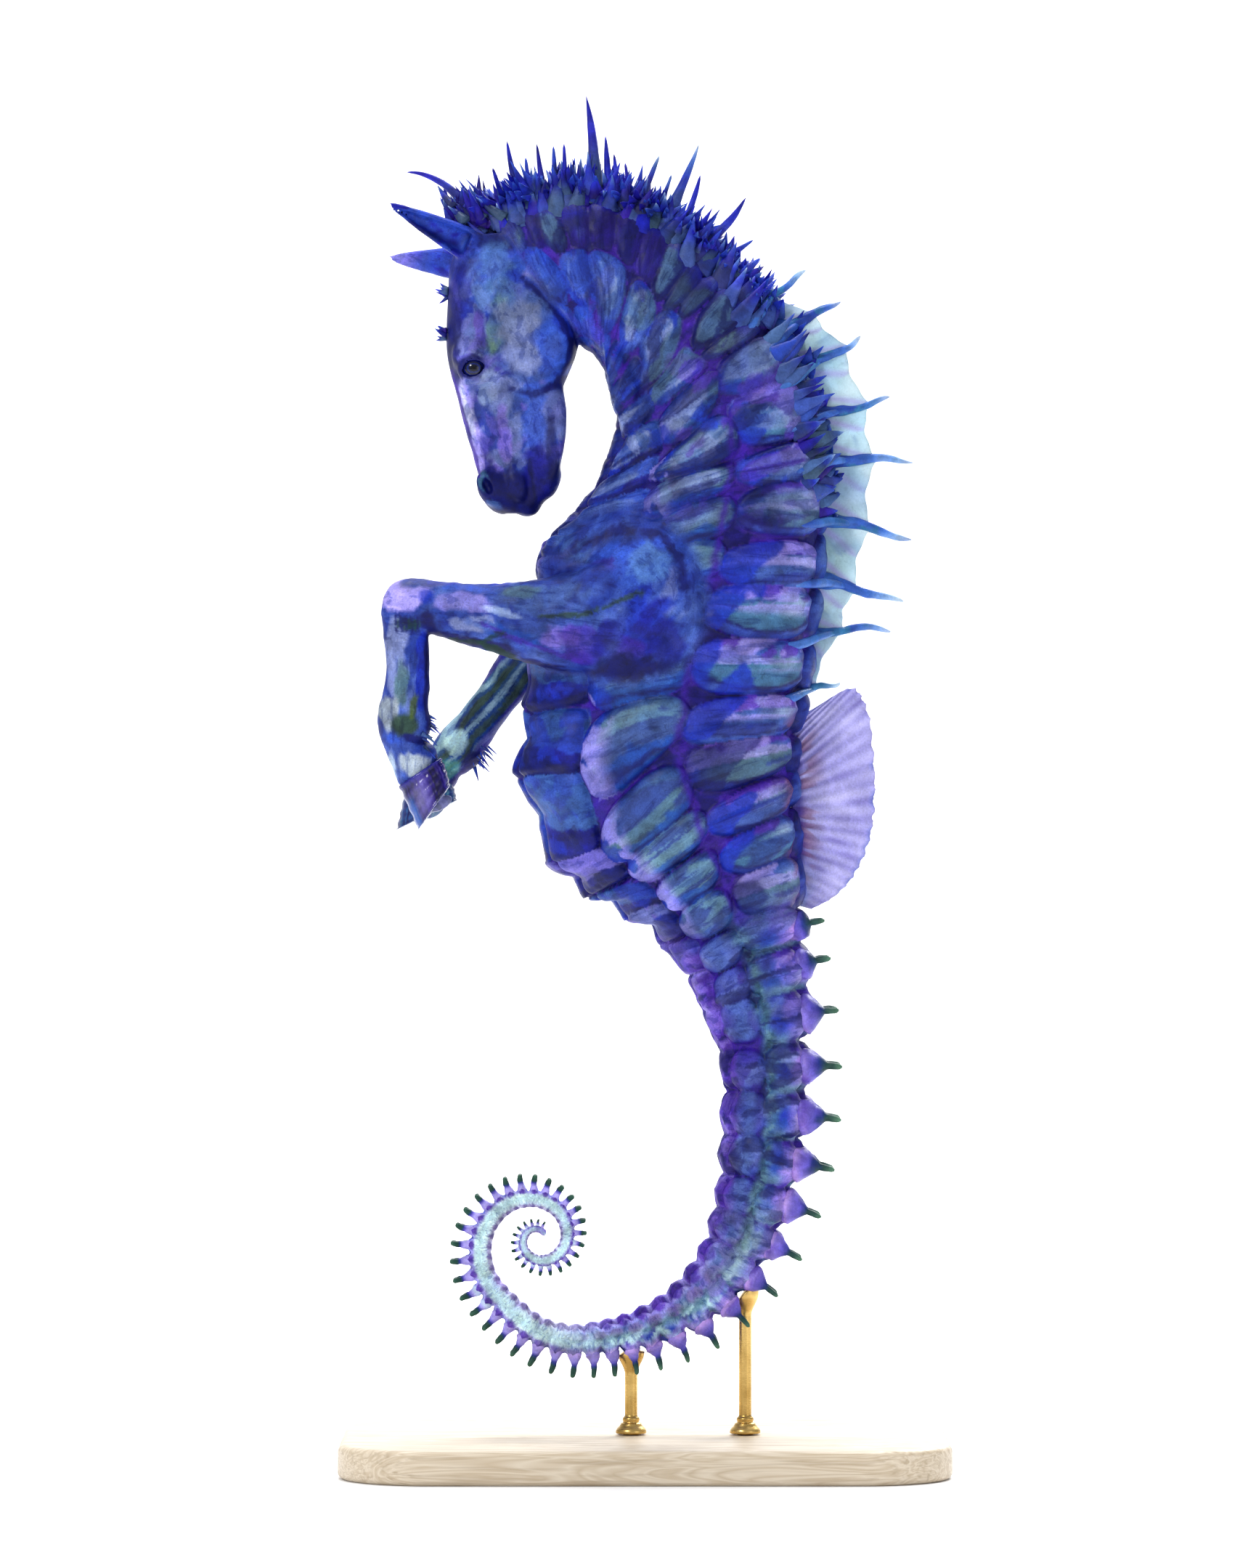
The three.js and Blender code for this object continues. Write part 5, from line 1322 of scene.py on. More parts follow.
class Spikes:
    """Many tapering spikes joined in one mesh."""

    def __init__(self):
        self.vertices, self.faces, self.along, self.tone, self.patches = [], [], [], [], []

    def add(self, root, bend, tip, radius, sides=6, rings=6, flat=1.0, tone=0.5, power=0.8, rough=0.0,
            patch=None, profile=None, wave=0.0):
        """tone is kept for the paint, and patch is the spike's place on the coat's map."""
        root, bend, tip = (np.array(p, float) for p in (root, bend, tip))
        u = np.linspace(0, 1, rings) ** 0.9
        centre = bezier(root, bend, tip, u)
        along = np.gradient(centre, axis=0)
        along /= np.linalg.norm(along, axis=1)[:, None]
        side = np.cross(along, (0.0, 1.0, 0.0))
        weak = np.linalg.norm(side, axis=1) < 0.2
        side[weak] = np.cross(along[weak], (1.0, 0.0, 0.0))
        side /= np.linalg.norm(side, axis=1)[:, None]
        other = np.cross(along, side)
        centre = centre + (wave * u * np.sin(9 * u + 20 * tone))[:, None] * side
        first = sum(len(v) for v in self.vertices)
        size = radius * (1 - u) ** power + 0.07
        if profile:
            size = np.interp(u, *profile)
        angle = np.linspace(0, 2 * np.pi, sides, endpoint=False) + 2 * np.pi * tone
        places = [np.repeat(u * 9, sides), np.tile(angle, rings), np.full(sides * rings, 50 * tone)]
        uneven = noise(np.stack(places, 1), 1, 91).reshape(rings, sides)
        ring = size[:, None] * (1 + rough * uneven)
        cosine, sine = np.cos(angle)[None, :, None], np.sin(angle)[None, :, None]
        around = cosine * side[:, None] + flat * sine * other[:, None]
        self.vertices.append((centre[:, None] + ring[..., None] * around).reshape(-1, 3))
        self.faces += [tuple(first + k for k in face) for face in sheet_faces(rings, sides, True)]
        self.faces.append(tuple(first + k for k in reversed(range(sides))))
        self.faces.append(tuple(first + (rings - 1) * sides + k for k in range(sides)))
        self.along.append(np.repeat(u, sides))
        self.tone.append(np.full(sides * rings, tone))
        place = patch or (0.5, 0.5)
        self.patches.append(np.stack([
            place[0] + COAT_PATCH * np.tile(np.arange(sides) / sides, rings),
            place[1] + COAT_PATCH * np.repeat(u, sides),
        ], 1))

    def made(self, name, material, painter, mapped=False):
        """The object, painted by a function of the vertices, their share along the spike, and its tone."""
        vertices = np.concatenate(self.vertices)
        paint = painter(vertices, np.concatenate(self.along), np.concatenate(self.tone))
        obj = mesh_object(name, vertices, self.faces, material, paint)
        if mapped:
            coat_map(obj, np.concatenate(self.patches))
        return obj


def coat_map(obj, places):
    """A map for the colours of a coat piece: each vertex at its given place."""
    layer = obj.data.uv_layers.new(name="OFBake")
    corners = np.zeros(len(obj.data.loops), np.int32)
    obj.data.loops.foreach_get("vertex_index", corners)
    layer.data.foreach_set("uv", places[corners].astype(np.float32).ravel())


def outwards(at):
    """Direction from the belly to the back at a station."""
    _, span, _ = BODY.section(at)
    return np.array([span[0], 0, span[1]]) / np.linalg.norm(span)


def on_body(at, around, side, depth=0.0):
    """A point of the body's surface, a depth under it, and the direction out of it."""
    middle, span, wide = BODY.section(at)
    deep = np.linalg.norm(span)
    t, y = math.cos(math.pi * around), math.sin(math.pi * around)
    n = BODY_SQUARENESS
    scale = (abs(t) ** n + abs(y) ** n) ** (-1 / n)
    out = np.array([t * span[0] / deep, side * y * deep / wide, t * span[1] / deep])
    out /= np.linalg.norm(out)
    x, z = middle[0] + t * scale * span[0], middle[1] + t * scale * span[1]
    return np.array([x, side * y * scale * wide, z]) - depth * out, out


# ---- Materials ----
class Shader:
    """A Principled material, built node by node."""

    def __init__(self, name, **constants):
        self.material = bpy.data.materials.new(name)
        self.material.use_nodes = True
        self.tree = self.material.node_tree
        self.surface = self.tree.nodes["Principled BSDF"]
        for socket, value in constants.items():
            self.surface.inputs[socket.replace("_", " ")].default_value = value

    def node(self, kind, inputs=None, **settings):
        made = self.tree.nodes.new("ShaderNode" + kind)
        for key, value in settings.items():
            setattr(made, key, value)
        for key, value in (inputs or {}).items():
            if isinstance(value, bpy.types.NodeSocket):
                self.tree.links.new(value, made.inputs[key])
            else:
                made.inputs[key].default_value = value
        return made

    def noise(self, size, detail=3.0, stretch=(1, 1, 1), distortion=0.0):
        """Noise with lumps about size millimetres across."""
        where = self.node("TexCoord").outputs["Object"]
        where = self.node("Mapping", {"Vector": where, "Scale": stretch}).outputs[0]
        inputs = {"Vector": where, "Scale": 1 / (size * MM), "Detail": detail, "Distortion": distortion}
        return self.node("TexNoise", inputs).outputs["Fac"]

    def ranged(self, value, low, high, to_low, to_high):
        inputs = {0: value, 1: low, 2: high, 3: to_low, 4: to_high}
        return self.node("MapRange", inputs).outputs[0]

    def mixed(self, a, b, factor=1.0, blend="MIX"):
        return self.node("Mix", {0: factor, 6: a, 7: b}, data_type="RGBA", blend_type=blend).outputs[2]

    def maths(self, operation, a, b):
        return self.node("Math", {0: a, 1: b}, operation=operation).outputs[0]

    def surfaced(self, socket, value):
        self.tree.links.new(value, self.surface.inputs[socket])

    def bump(self, height, distance):
        made = self.node("Bump", {"Height": height, "Distance": distance * MM, "Strength": 1.0})
        self.surfaced("Normal", made.outputs[0])


def painted(name, roughness, pooling=0.3, rim=0.25, grain=0.12, bump=0.06, size=5.0, strokes=False,
            depth=1.0, **constants):
    """The paint of the vertices, with pigment that pools, dries to darker rims and granulates."""
    shader = Shader(name, Specular_IOR_Level=0.2, **constants)
    paint = shader.node("Attribute", attribute_name="paint").outputs["Color"]
    pools = shader.noise(size, 5.0, distortion=0.6)
    tone = shader.ranged(pools, 0.32, 0.68, 1 - pooling, 1 + pooling)
    paint = shader.mixed(paint, tone, 1.0, "MULTIPLY")
    washes = shader.noise(size * 0.8, 3.0, distortion=1.2)
    steps = shader.maths("PINGPONG", shader.maths("MULTIPLY", washes, 6.0), 0.5)
    rims = shader.ranged(steps, 0.0, 0.07, 1 - rim, 1.0)
    paint = shader.mixed(paint, rims, 1.0, "MULTIPLY")
    if strokes:
        flow = shader.node("Attribute", attribute_name="flow").outputs["Vector"]
        bristles = shader.node("TexNoise", {"Vector": flow, "Scale": 1.0, "Detail": 4.0, "Distortion": 0.6})
        bristles = bristles.outputs["Fac"]
        shaded = shader.mixed(paint, (0.34, 0.4, 0.64, 1), 1.0, "MULTIPLY")
        paint = shader.mixed(paint, shaded, shader.ranged(bristles, 0.55, 0.61, 0.0, 0.6))
        lit = shader.mixed(paint, (1.5, 1.42, 1.22, 1), 1.0, "MULTIPLY")
        paint = shader.mixed(paint, lit, shader.ranged(bristles, 0.44, 0.39, 0.0, 0.45))
    granules = shader.noise(0.45, 2.0)
    paint = shader.mixed(paint, shader.ranged(granules, 0.3, 0.7, 1 - grain, 1 + grain), 1.0, "MULTIPLY")
    paint = shader.node("Gamma", {"Color": paint, "Gamma": depth}).outputs[0]
    shader.surfaced("Base Color", paint)
    shader.surfaced("Roughness", shader.ranged(pools, 0.3, 0.7, roughness - 0.08, roughness + 0.1))
    relief = shader.maths("ADD", shader.noise(0.9, 3.0), shader.maths("MULTIPLY", granules, 0.35))
    shader.bump(relief, bump)
    return shader.material


def ash_wood():
    """Pale limed ash with its grain along X."""
    shader = Shader("ash", Coat_Weight=0.15, Coat_Roughness=0.35)
    fibres = shader.noise(1.1, 4.0, (0.04, 1, 1), 0.3)
    rings = shader.noise(9, 3.0, (0.12, 1, 1.6), 1.5)
    bands = shader.maths("PINGPONG", shader.maths("MULTIPLY", rings, 9.0), 0.5)
    pale, ringed, dark = ((*colour(code), 1) for code in ("D8CBB6", "BFAD92", "A08C70"))
    wood = shader.mixed(pale, ringed, shader.ranged(bands, 0.0, 0.5, 0.9, 0.0))
    wood = shader.mixed(wood, dark, shader.ranged(fibres, 0.52, 0.72, 0.0, 0.6))
    shader.surfaced("Base Color", wood)
    shader.surfaced("Roughness", shader.ranged(fibres, 0.3, 0.7, 0.42, 0.6))
    shader.bump(fibres, 0.08)
    return shader.material


def brushed_brass():
    shader = Shader("brass", Metallic=1.0)
    turned = shader.noise(0.5, 3.0, (0.3, 0.3, 4))
    tarnish = shader.noise(7, 3.0)
    bright, dull = ((*colour(code), 1) for code in ("D9B66E", "A8823F"))
    metal = shader.mixed(bright, dull, shader.ranged(tarnish, 0.4, 0.7, 0.0, 0.7))
    shader.surfaced("Base Color", metal)
    shader.surfaced("Roughness", shader.ranged(turned, 0.3, 0.7, 0.22, 0.42))
    shader.bump(turned, 0.02)
    return shader.material


# ---- Skin ----
def make_skin():
    low, high = (-63, -27, 21), (47, 27, 302)
    volume = Volume(low, high)
    volume.add(body_shape, low, high, 0.01)
    volume.add(head_shape, (-50, -16, 220), (-8, 16, 296), 1.4)
    volume.add(left_leg_shape, (-63, -27, 155), (14, 2, 222), 2.6)
    volume.add(right_leg_shape, (-63, -2, 152), (16, 27, 220), 2.6)
    for ear in EARS.values():
        box = np.array(ear)
        volume.add(lambda p, ear=ear: ear_shape(p, *ear), box.min(0) - 5, box.max(0) + 5, 1.6)
    vertices, faces = volume.surface(3)
    plates, weights = Plates(vertices), group_weights(vertices)
    vertices = displaced(vertices, volume.normals(vertices), plates, weights)
    skin = mesh_object("skin", vertices, faces, None)
    reduce_to(skin, SKIN_TRIANGLES)
    skin.data.polygons.foreach_set("use_smooth", [True] * len(skin.data.polygons))
    points = vertices_of(skin)
    plates, weights = Plates(points), group_weights(points)
    set_paint(skin, paint_skin(points, plates, weights))
    set_flow(skin, stroke_flow(points, plates, weights))
    skin.data.materials.append(painted("skin", 0.5, bump=0.05, strokes=True, depth=1.22))
    flesh = ("head", "ear", "neck", "trunk", "tail", "coil", "forearm", "cannon", "pastern")
    finished(skin, "skin", *[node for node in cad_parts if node.split("_")[0] in flesh])


# ---- Eyes ----
def make_eyes():
    """Glossy eyeballs with a long pupil in a dark blue iris."""
    glossy = painted("eye", 0.2, pooling=0.1, rim=0, grain=0, bump=0.0, size=1.5,
                     Coat_Weight=0.35, Coat_Roughness=0.03)
    for name, side in (("eye_left", -1), ("eye_right", 1)):
        rows, columns = 33, 48
        polar = np.linspace(0, np.pi, rows)[:, None]
        turn = np.linspace(0, 2 * np.pi, columns, endpoint=False)[None, :]
        axes = np.sin(polar) * np.cos(turn), side * np.cos(polar), np.sin(polar) * np.sin(turn)
        ball = np.stack(np.broadcast_arrays(*axes), 2).reshape(-1, 3)
        radial = np.hypot(ball[:, 0] / 0.62, ball[:, 2] / 0.46)
        seen = ball[:, 1] * side > 0
        spokes = np.stack([np.arctan2(ball[:, 2], ball[:, 0]) * 5, radial, 0 * radial], 1)
        streaks = 0.18 * noise(spokes, 0.5, 93)
        paint = Paint(ball, "iris", np.clip(radial * 0.9 + streaks, 0, 1))
        paint.wash("royal", 0.35 * bell(radial - 0.86, 0.12) * seen)
        paint.wash("navy", 0.9 * smooth(radial, 1.15, 1.4))
        faces = sheet_faces(rows, columns, True)
        ball = middle_of(name) + ball * EYE_RADIUS * 0.985
        eye = mesh_object(name.replace("eye", "eyeball"), ball, faces, glossy, paint.rgb)
        finished(eye, "eye", name)


# ---- Mane ----
CREST_TUFTS, SIDE_LOCKS, NECK_FLAPS = 340, 330, 150
FORELOCK_TUFTS, FOREHEAD_TUFTS = 86, 14
FETLOCK_TUFTS = 26  # behind each fetlock


def paint_mane(vertices, along, tone):
    value = 0.42 * tone + 0.2 * along + 0.3 * noise(vertices, 3, 95) + 0.2 * noise(vertices, 1, 96)
    paint = Paint(vertices, "mane", value)
    paint.wash("dark_violet", 0.6 * paint.patches(6, 92, 0.15, 0.25) * (1 - 0.6 * along))
    paint.wash("violet", 0.6 * (np.modf(tone * 37)[0] > 0.82) * (1 - along))
    low = fade(along, 0.3, 0.75)
    paint.washes(low, (
        ("dark_olive", 0.5 * (np.modf(tone * 29)[0] > 0.55)),
        ("moss_grey", 0.42 * (np.modf(tone * 53)[0] > 0.68)),
        ("slate", 0.45 * (np.modf(tone * 13)[0] > 0.78)),
    ))
    paint.wash("blue", 0.7 * smooth(along, 0.55, 0.95) * (np.modf(tone * 71)[0] > 0.5))
    paint.wash("steel", 0.7 * smooth(along, 0.6, 0.95) * (np.modf(tone * 91)[0] > 0.8))
    paint.wash("pale", 0.7 * smooth(along, 0.86, 1) * (np.modf(tone * 91)[0] > 0.86))
    x, z = vertices[:, 0], vertices[:, 2]
    nape = smooth(x - z, -250, -236) * fade(along, 0.6, 1)
    paint.washes(nape, (
        ("blue", 0.6 * (np.modf(tone * 17)[0] > 0.5)),
        ("moss_grey", 0.5 * (np.modf(tone * 29)[0] > 0.72)),
        ("slate", 0.6 * (np.modf(tone * 43)[0] > 0.78)),
    ))
    return paint.rgb


# Long spikes of the crest: root, bend and tip in the XZ plane, and thickness.
CREST_SPINES = [
    ((-39, 292), (-47, 303.6), (-55.6, 303.4), 2.6),
    ((-32.4, 295), (-34.2, 300), (-35.6, 304.4), 2.2),
    ((-28.8, 295.4), (-30.9, 302), (-32.3, 310.8), 2.6),
    ((-26.3, 296), (-27.2, 301), (-27.9, 306.8), 2.2),
    ((-23.4, 296), (-24.2, 302), (-25.3, 310), 2.4),
    ((-20.6, 296), (-21, 302), (-21.4, 309.6), 2.4),
    ((-18, 296), (-18.7, 302), (-18.9, 310), 2.2),
    ((-12.2, 293), (-10.9, 306), (-13.7, 321.2), 4.4),
    ((-8.6, 295), (-8.4, 302), (-9.2, 312), 3),
    ((-6.4, 294.6), (-6.4, 300), (-7.2, 307.6), 2.4),
    ((-3.6, 293.6), (-3.6, 299), (-4.6, 305.6), 2.2),
    ((-2, 292.8), (0.2, 300), (3.4, 307.4), 2.6),
    ((3, 289), (8.4, 298), (12.6, 309.8), 3.8),
    ((1.4, 291), (4.4, 297), (6.2, 302.8), 2.2),
    ((7, 287), (11, 294), (13, 302.8), 2.8),
    ((10, 284.6), (19, 289), (23.6, 297.4), 3.6),
    ((14, 281.8), (20, 283.8), (25.4, 287.6), 2.8),
    ((17, 279.2), (22.4, 280), (27, 283.4), 2.6),
]
MANE_END = 5.4  # station
COAT_PATCH = 0.003


def coat_place(at, around, side):
    """Place of a body point on the coat's map."""
    return 0.02 + 0.9 * (at + 0.4) / 10.8, 0.45 + 0.4 * side * around / 0.36


def to_back(at, around, side):
    """Direction along the body's surface towards the middle of the back."""
    ahead, _ = on_body(at, around - 0.04, side)
    here, _ = on_body(at, around, side)
    return (ahead - here) / np.linalg.norm(ahead - here)


def unit(v):
    return v / np.linalg.norm(v)


def make_mane():
    """Tufts that stand on the crest and lie up its sides, pointed flaps behind them, and long spikes."""
    draw = random.Random(11)
    mane = Spikes()
    for i in range(CREST_TUFTS):
        at = draw.uniform(-0.5, MANE_END)
        side = draw.choice((-1, 1))
        around = min(abs(draw.gauss(0, 0.07)), 0.2)
        root, _ = on_body(max(at, 0), around, side, 1.8)
        if at < 0:
            root = root + np.array([14 * at, 0, 5 * at])
        up = outwards(max(at, 0))
        back = np.array([up[2], 0, -up[0]])
        lock = math.floor(5 * at + 0.5 * draw.random())
        together, apart = chance(lock, 3), chance(lock, 4)
        lean = 0.16 + 0.6 * (together - 0.5) + draw.gauss(0, 0.13) - 0.5 * fade(at, -0.4, 0.8)
        flow = unit(up + lean * back + np.array([0, side * 0.14 + draw.gauss(0, 0.1), 0]))
        size = 1 - 0.35 * smooth(at, 3.8, MANE_END) + 0.3 * bell(at - 2.1, 0.7)
        length = draw.uniform(6, 10) * size * (0.82 + 0.4 * apart) * (1.3 if draw.random() < 0.1 else 1)
        forward = draw.gauss(0.5, 0.7) + 1.6 * (together - 0.5)
        sway = np.array([forward, draw.gauss(0, 0.3), draw.gauss(0, 0.3)])
        bend, tip = root + flow * length * 0.6 - sway * 0.5, root + flow * length + sway
        mane.add(root, bend, tip, draw.uniform(1.3, 2.7), sides=8, rings=10, flat=0.4,
                 tone=(apart + 0.45 * draw.random()) % 1, power=1.15, rough=0.14,
                 patch=coat_place(at, around, side))
    for i in range(SIDE_LOCKS):  # these lie up the sides of the crest
        at = draw.uniform(-0.1, 5.8)
        side = draw.choice((-1, 1))
        around = draw.uniform(0.07, 0.3 - 0.016 * at)
        root, out = on_body(at, around, side, 0.7)
        sweep = 0.5 * (chance(math.floor(3 * at), side, 6) - 0.5)
        stray = np.array([sweep + draw.gauss(0, 0.1), 0, draw.gauss(0, 0.08)])
        flow = unit(to_back(at, around, side) + 0.1 * out + stray)
        length = draw.uniform(9, 15) * (1 - 1.2 * max(around - 0.2, 0))
        tip = root + flow * length - out * 0.09 * length
        mane.add(root, root + flow * length * 0.5 + out * 0.6, tip, draw.uniform(1.2, 2.9), sides=8, rings=10,
                 flat=0.26, tone=draw.random(), power=0.9, rough=0.12, patch=coat_place(at, around, side))
    for i in range(NECK_FLAPS):  # these are pointed
        at = draw.uniform(4, 9.6)
        side = draw.choice((-1, 1))
        around = draw.uniform(0.03, 0.33 - 0.02 * (at - 4))
        root, out = on_body(at, around, side, 0.9)
        up = outwards(at)
        head = np.array([-up[2], 0, up[0]])
        flow = unit(to_back(at, around, side) + 0.3 * up + (0.3 + draw.gauss(0, 0.14)) * head + 0.22 * out)
        length = draw.uniform(8, 14) * (1 - 0.3 * smooth(at, 7, 9.6))
        tip = root + flow * length - 0.06 * length * out
        tip[1] = min(max(tip[1], -0.8 * abs(root[1]) - 1), 0.8 * abs(root[1]) + 1)
        mane.add(root, root + flow * length * 0.5 + out * 0.9, tip, draw.uniform(1.5, 3.0), sides=8, rings=12,
                 flat=0.3, tone=draw.random(), power=1.0, rough=0.14, patch=coat_place(at, around, side))
    for i, (root, bend, tip, thick) in enumerate(CREST_SPINES):
        y = (i % 3) - 1
        profile = ((0, 0.2, 0.5, 0.8, 0.95, 1),
                   (0.72 * thick, 0.5 * thick, 0.3 * thick, 0.17 * thick + 0.08, 0.3, 0.08))
        places = (root[0], 0, root[1]), (bend[0], y / 2, bend[1]), (tip[0], y, tip[1])
        mane.add(*places, thick / 2, sides=10, rings=18, tone=0.35 + 0.5 * draw.random(), rough=0.14,
                 profile=profile, patch=(0.05 + 0.05 * i, 0.96))
    for i in range(FORELOCK_TUFTS + FOREHEAD_TUFTS):  # those of the forehead stand in two groups
        low = i >= FORELOCK_TUFTS
        place = (-46, 275) if i % 2 else (-46.4, 265.6)
        root = np.array([place[0], draw.gauss(0, 1.4), place[1] + draw.gauss(0, 1.1)]) if low else np.array(
            [-38.5 + draw.gauss(0, 3), draw.gauss(0, 3), 290.5 + draw.gauss(0, 2)])
        flow = unit(np.array([-1, draw.gauss(0, 0.3), 0.1 + draw.gauss(0, 0.4)]) if low else np.array(
            [-0.55 + draw.gauss(0, 0.5), draw.gauss(0, 0.35), 0.8]))
        length = draw.uniform(1.6, 3.6) if low else draw.uniform(5, 9.5)
        tip = root + flow * length + np.array([0, 0, 0.4])
        mane.add(root, root + flow * length * 0.6, tip, draw.uniform(0.5, 0.9) * (1 if low else 1.8), sides=6,
                 rings=7, flat=0.6, tone=draw.random(), power=1.0, patch=(0.02 + 0.008 * i, 0.02))
    finished(mane.made("mane", HAIR, paint_mane, True), "mane", "mane")


def make_feathers():
    """The short tufts behind the fetlocks."""
    draw = random.Random(23)
    tufts = Spikes()
    for side, centre, aim in (
        ("left", (-52, -14, 173.5), (1, 0, -0.5)),
        ("right", (-40.6, 11.8, 168.4), (0.7, 0, -0.9)),
    ):
        for i in range(FETLOCK_TUFTS):
            root = np.array(centre) + [draw.gauss(0, 1), draw.gauss(0, 1.8), draw.gauss(0, 1.5)]
            flow = np.array(aim) + [draw.gauss(0, 0.25), draw.gauss(0, 0.3), draw.gauss(0, 0.3)]
            length = draw.uniform(1.8, 3.2) if side == "left" else draw.uniform(2.2, 4)
            tip = root + flow * length + [0, 0, -0.5]
            bend = root + flow * length * 0.5
            place = (0.02 + 0.018 * i, 0.3 if side == "left" else 0.6)
            tufts.add(root, bend, tip, draw.uniform(0.35, 0.6), sides=5, rings=5, flat=0.7,
                      tone=draw.random(), power=1.0, patch=place)
    finished(tufts.made("fetlock_tufts", HAIR, paint_mane, True), "mane")


# ---- Spines and web of the back ----
BACK_SPINES = [  # root, bend and tip, thickness, and how far out the web goes
    ((25.5, 272), (32, 275.4), (37.8, 280.4), 3.2, 0.42),
    ((30, 265.5), (38.6, 268.4), (45.5, 273.6), 3.6, 0.65),
    ((34, 256.5), (44, 259.6), (50.6, 265), 3.4, 0.78),
    ((38, 246.6), (48.6, 247.6), (57.4, 250.6), 3.2, 0.74),
    ((39, 236.4), (50, 236.2), (62.8, 236), 3.6, 0.66),
    ((39, 223), (51, 221.6), (62.4, 217.4), 3.6, 0.6),
    ((39, 208.8), (50, 206.4), (60.4, 202.6), 3.4, 0.52),
    ((37, 194), (47, 197.4), (57.6, 196.4), 3.2, 0.5),
    ((36, 181.6), (41, 183), (45.8, 184), 2.4, 0.5),
]


def paint_spine(vertices, along, tone):
    """Dark roots and pale tips; the side roots, told by their tone, stay dark."""
    along = np.where(tone > 0.95, 0.45 * along, along)
    value = 0.2 + 0.2 * tone + 0.55 * smooth(along, 0.5, 1) + 0.22 * noise(vertices, 3, 97)
    paint = Paint(vertices, "spine", value)
    patch = paint.patches
    paint.wash("indigo", 0.7 * fade(along, 0.0, 0.35) * patch(3, 99, -0.1, 0.2))
    paint.wash("teal", 0.6 * bell(along - 0.55, 0.25) * patch(3, 101, 0.0, 0.2))
    paint.wash("white", 0.35 * smooth(along, 0.82, 1))
    return paint.rgb


def make_back_spines():
    """The spines, each on two roots that run over the plates to either side."""
    spines = Spikes()
    for i, (root, bend, tip, thick, _) in enumerate(BACK_SPINES):
        start, middle, end = (np.array((x, 0, z)) for x, z in ((root[0] - 2, root[1]), bend, tip))
        sizes = [share * thick for share in (1, 0.9, 0.62, 0.4, 0.3, 0.26, 0.19)] + [0.4, 0.15]
        spines.add(start, middle, end, thick / 2, sides=12, rings=36, tone=0.1 * i, rough=0.26, wave=0.55,
                   profile=((0, 0.08, 0.2, 0.34, 0.6, 0.74, 0.9, 0.97, 1), sizes))
        at = float(BODY.locate(np.array([root[0] + 2.0]), np.array([float(root[1])]))[0][0])
        joined = bezier(start, middle, end, np.array([0.42]))[0]
        for side in (-1, 1):
            low, _ = on_body(at + 0.25, 0.3, side, 0.5)
            over, _ = on_body(at + 0.1, 0.15, side, -1.5)
            spines.add(low, over, joined, 1, sides=10, rings=20, tone=1, rough=0.2, wave=0.3, flat=0.7,
                       profile=((0, 0.15, 0.5, 0.85, 1), (0.3, 0.9, 1.25, 0.26 * thick, 0.3)))
    finished(spines.made("back_spines", HORN, paint_spine), "sail")


def two_sided(near, far, rows, columns):
    """Vertices and faces of a thin sheet, both its sides and its edges."""
    back = rows * columns
    front = sheet_faces(rows, columns)
    faces = front + [tuple(back + k for k in reversed(face)) for face in front]
    rim, foot = range(columns - 1, back, columns), range(0, back, columns)
    first, last = range(columns), range(back - columns, back)
    for loop, turned in ((rim, False), (foot, True), (first, True), (last, False)):
        for a, b in zip(loop, loop[1:]):
            quad = (a, b, b + back, a + back)
            faces.append(quad if turned else quad[::-1])
    return np.concatenate([np.reshape(side, (-1, 3)) for side in (near, far)]), faces


def make_web():
    """The web between the spines: thin, folded in the middle of each bay, its edge drawn in."""
    bay, deep = 20, 16
    spans = len(BACK_SPINES) - 1
    shares = np.linspace(0, 1, deep)
    lines = [bezier(np.array((r[0] - 2.5, r[1])), np.array(b), np.array(t), np.linspace(0, w + 0.02, deep))
             for r, b, t, _, w in BACK_SPINES]
    columns = []
    for i in range(spans):
        for k in range(bay + (i == spans - 1)):
            f = k / bay
            a, b = lines[i], lines[i + 1]
            line = a * (1 - f) + b * f
            pull = np.sin(np.pi * f) ** 0.8
            line[:, 0] -= (1.6 * shares**2 + 0.5 * shares) * pull + 0.2 * shares**6 * math.sin(5 * np.pi * f)
            fold = 0.9 * (0.5 - abs((f * 2 - shares) % 1 - 0.5)) * shares * (1 - shares**4)
            columns.append((line, fold + 0.35 * math.sin(np.pi * (i + f)) * shares, f))
    half = 0.3 - 0.14 * shares
    near, far = ([np.stack([line[:, 0], fold + k * half, line[:, 1]], 1) for line, fold, _ in columns]
                 for k in (-1, 1))
    vertices, faces = two_sided(near, far, len(columns), deep)
    f = np.tile(np.repeat([c[2] for c in columns], deep), 2)
    share = np.tile(shares, 2 * len(columns))
    paint = Paint(vertices, "web", 0.35 + 0.5 * share + 0.25 * noise(vertices, 5, 103))
    patch = paint.patches
    paint.wash("sea", 0.6 * patch(5, 105, 0.15, 0.35) * (1 - share))
    paint.wash("light_green", 0.7 * patch(6, 107, -0.05, 0.1) * smooth(f, 0.1, 0.5) * (1 - share))
    paint.wash("moss_grey", 0.6 * patch(4, 108, 0.15, 0.25) * (1 - share))
    paint.wash("lavender", 0.9 * bell(f * 2 % 1 - share, 0.14) * (1 - 0.3 * share))
    paint.wash("steel", 0.5 * bell(f - 0.5, 0.3) * patch(7, 110, 0.0, 0.1))
    paint.wash("blue", 0.55 * fade(share, 0.1, 0.35))
    paint.wash("violet", 0.6 * fade(share, 0.1, 0.22) * patch(3, 109, 0, 0.3))
    web = mesh_object("sail_web", vertices, faces, WEB, paint.rgb)
    finished(web, "sail", "sail")


# ---- Dorsal fin ----
FIN_EDGE = [
    (38.6, 176.6), (43.6, 180.6), (49.4, 182.8), (52.8, 176), (54, 163), (53.6, 150.5), (50.4, 141),
    (45.2, 134.4), (39, 131),
]
FIN_RAYS = 24
FIN_STATIONS = (13.35, 17.95)


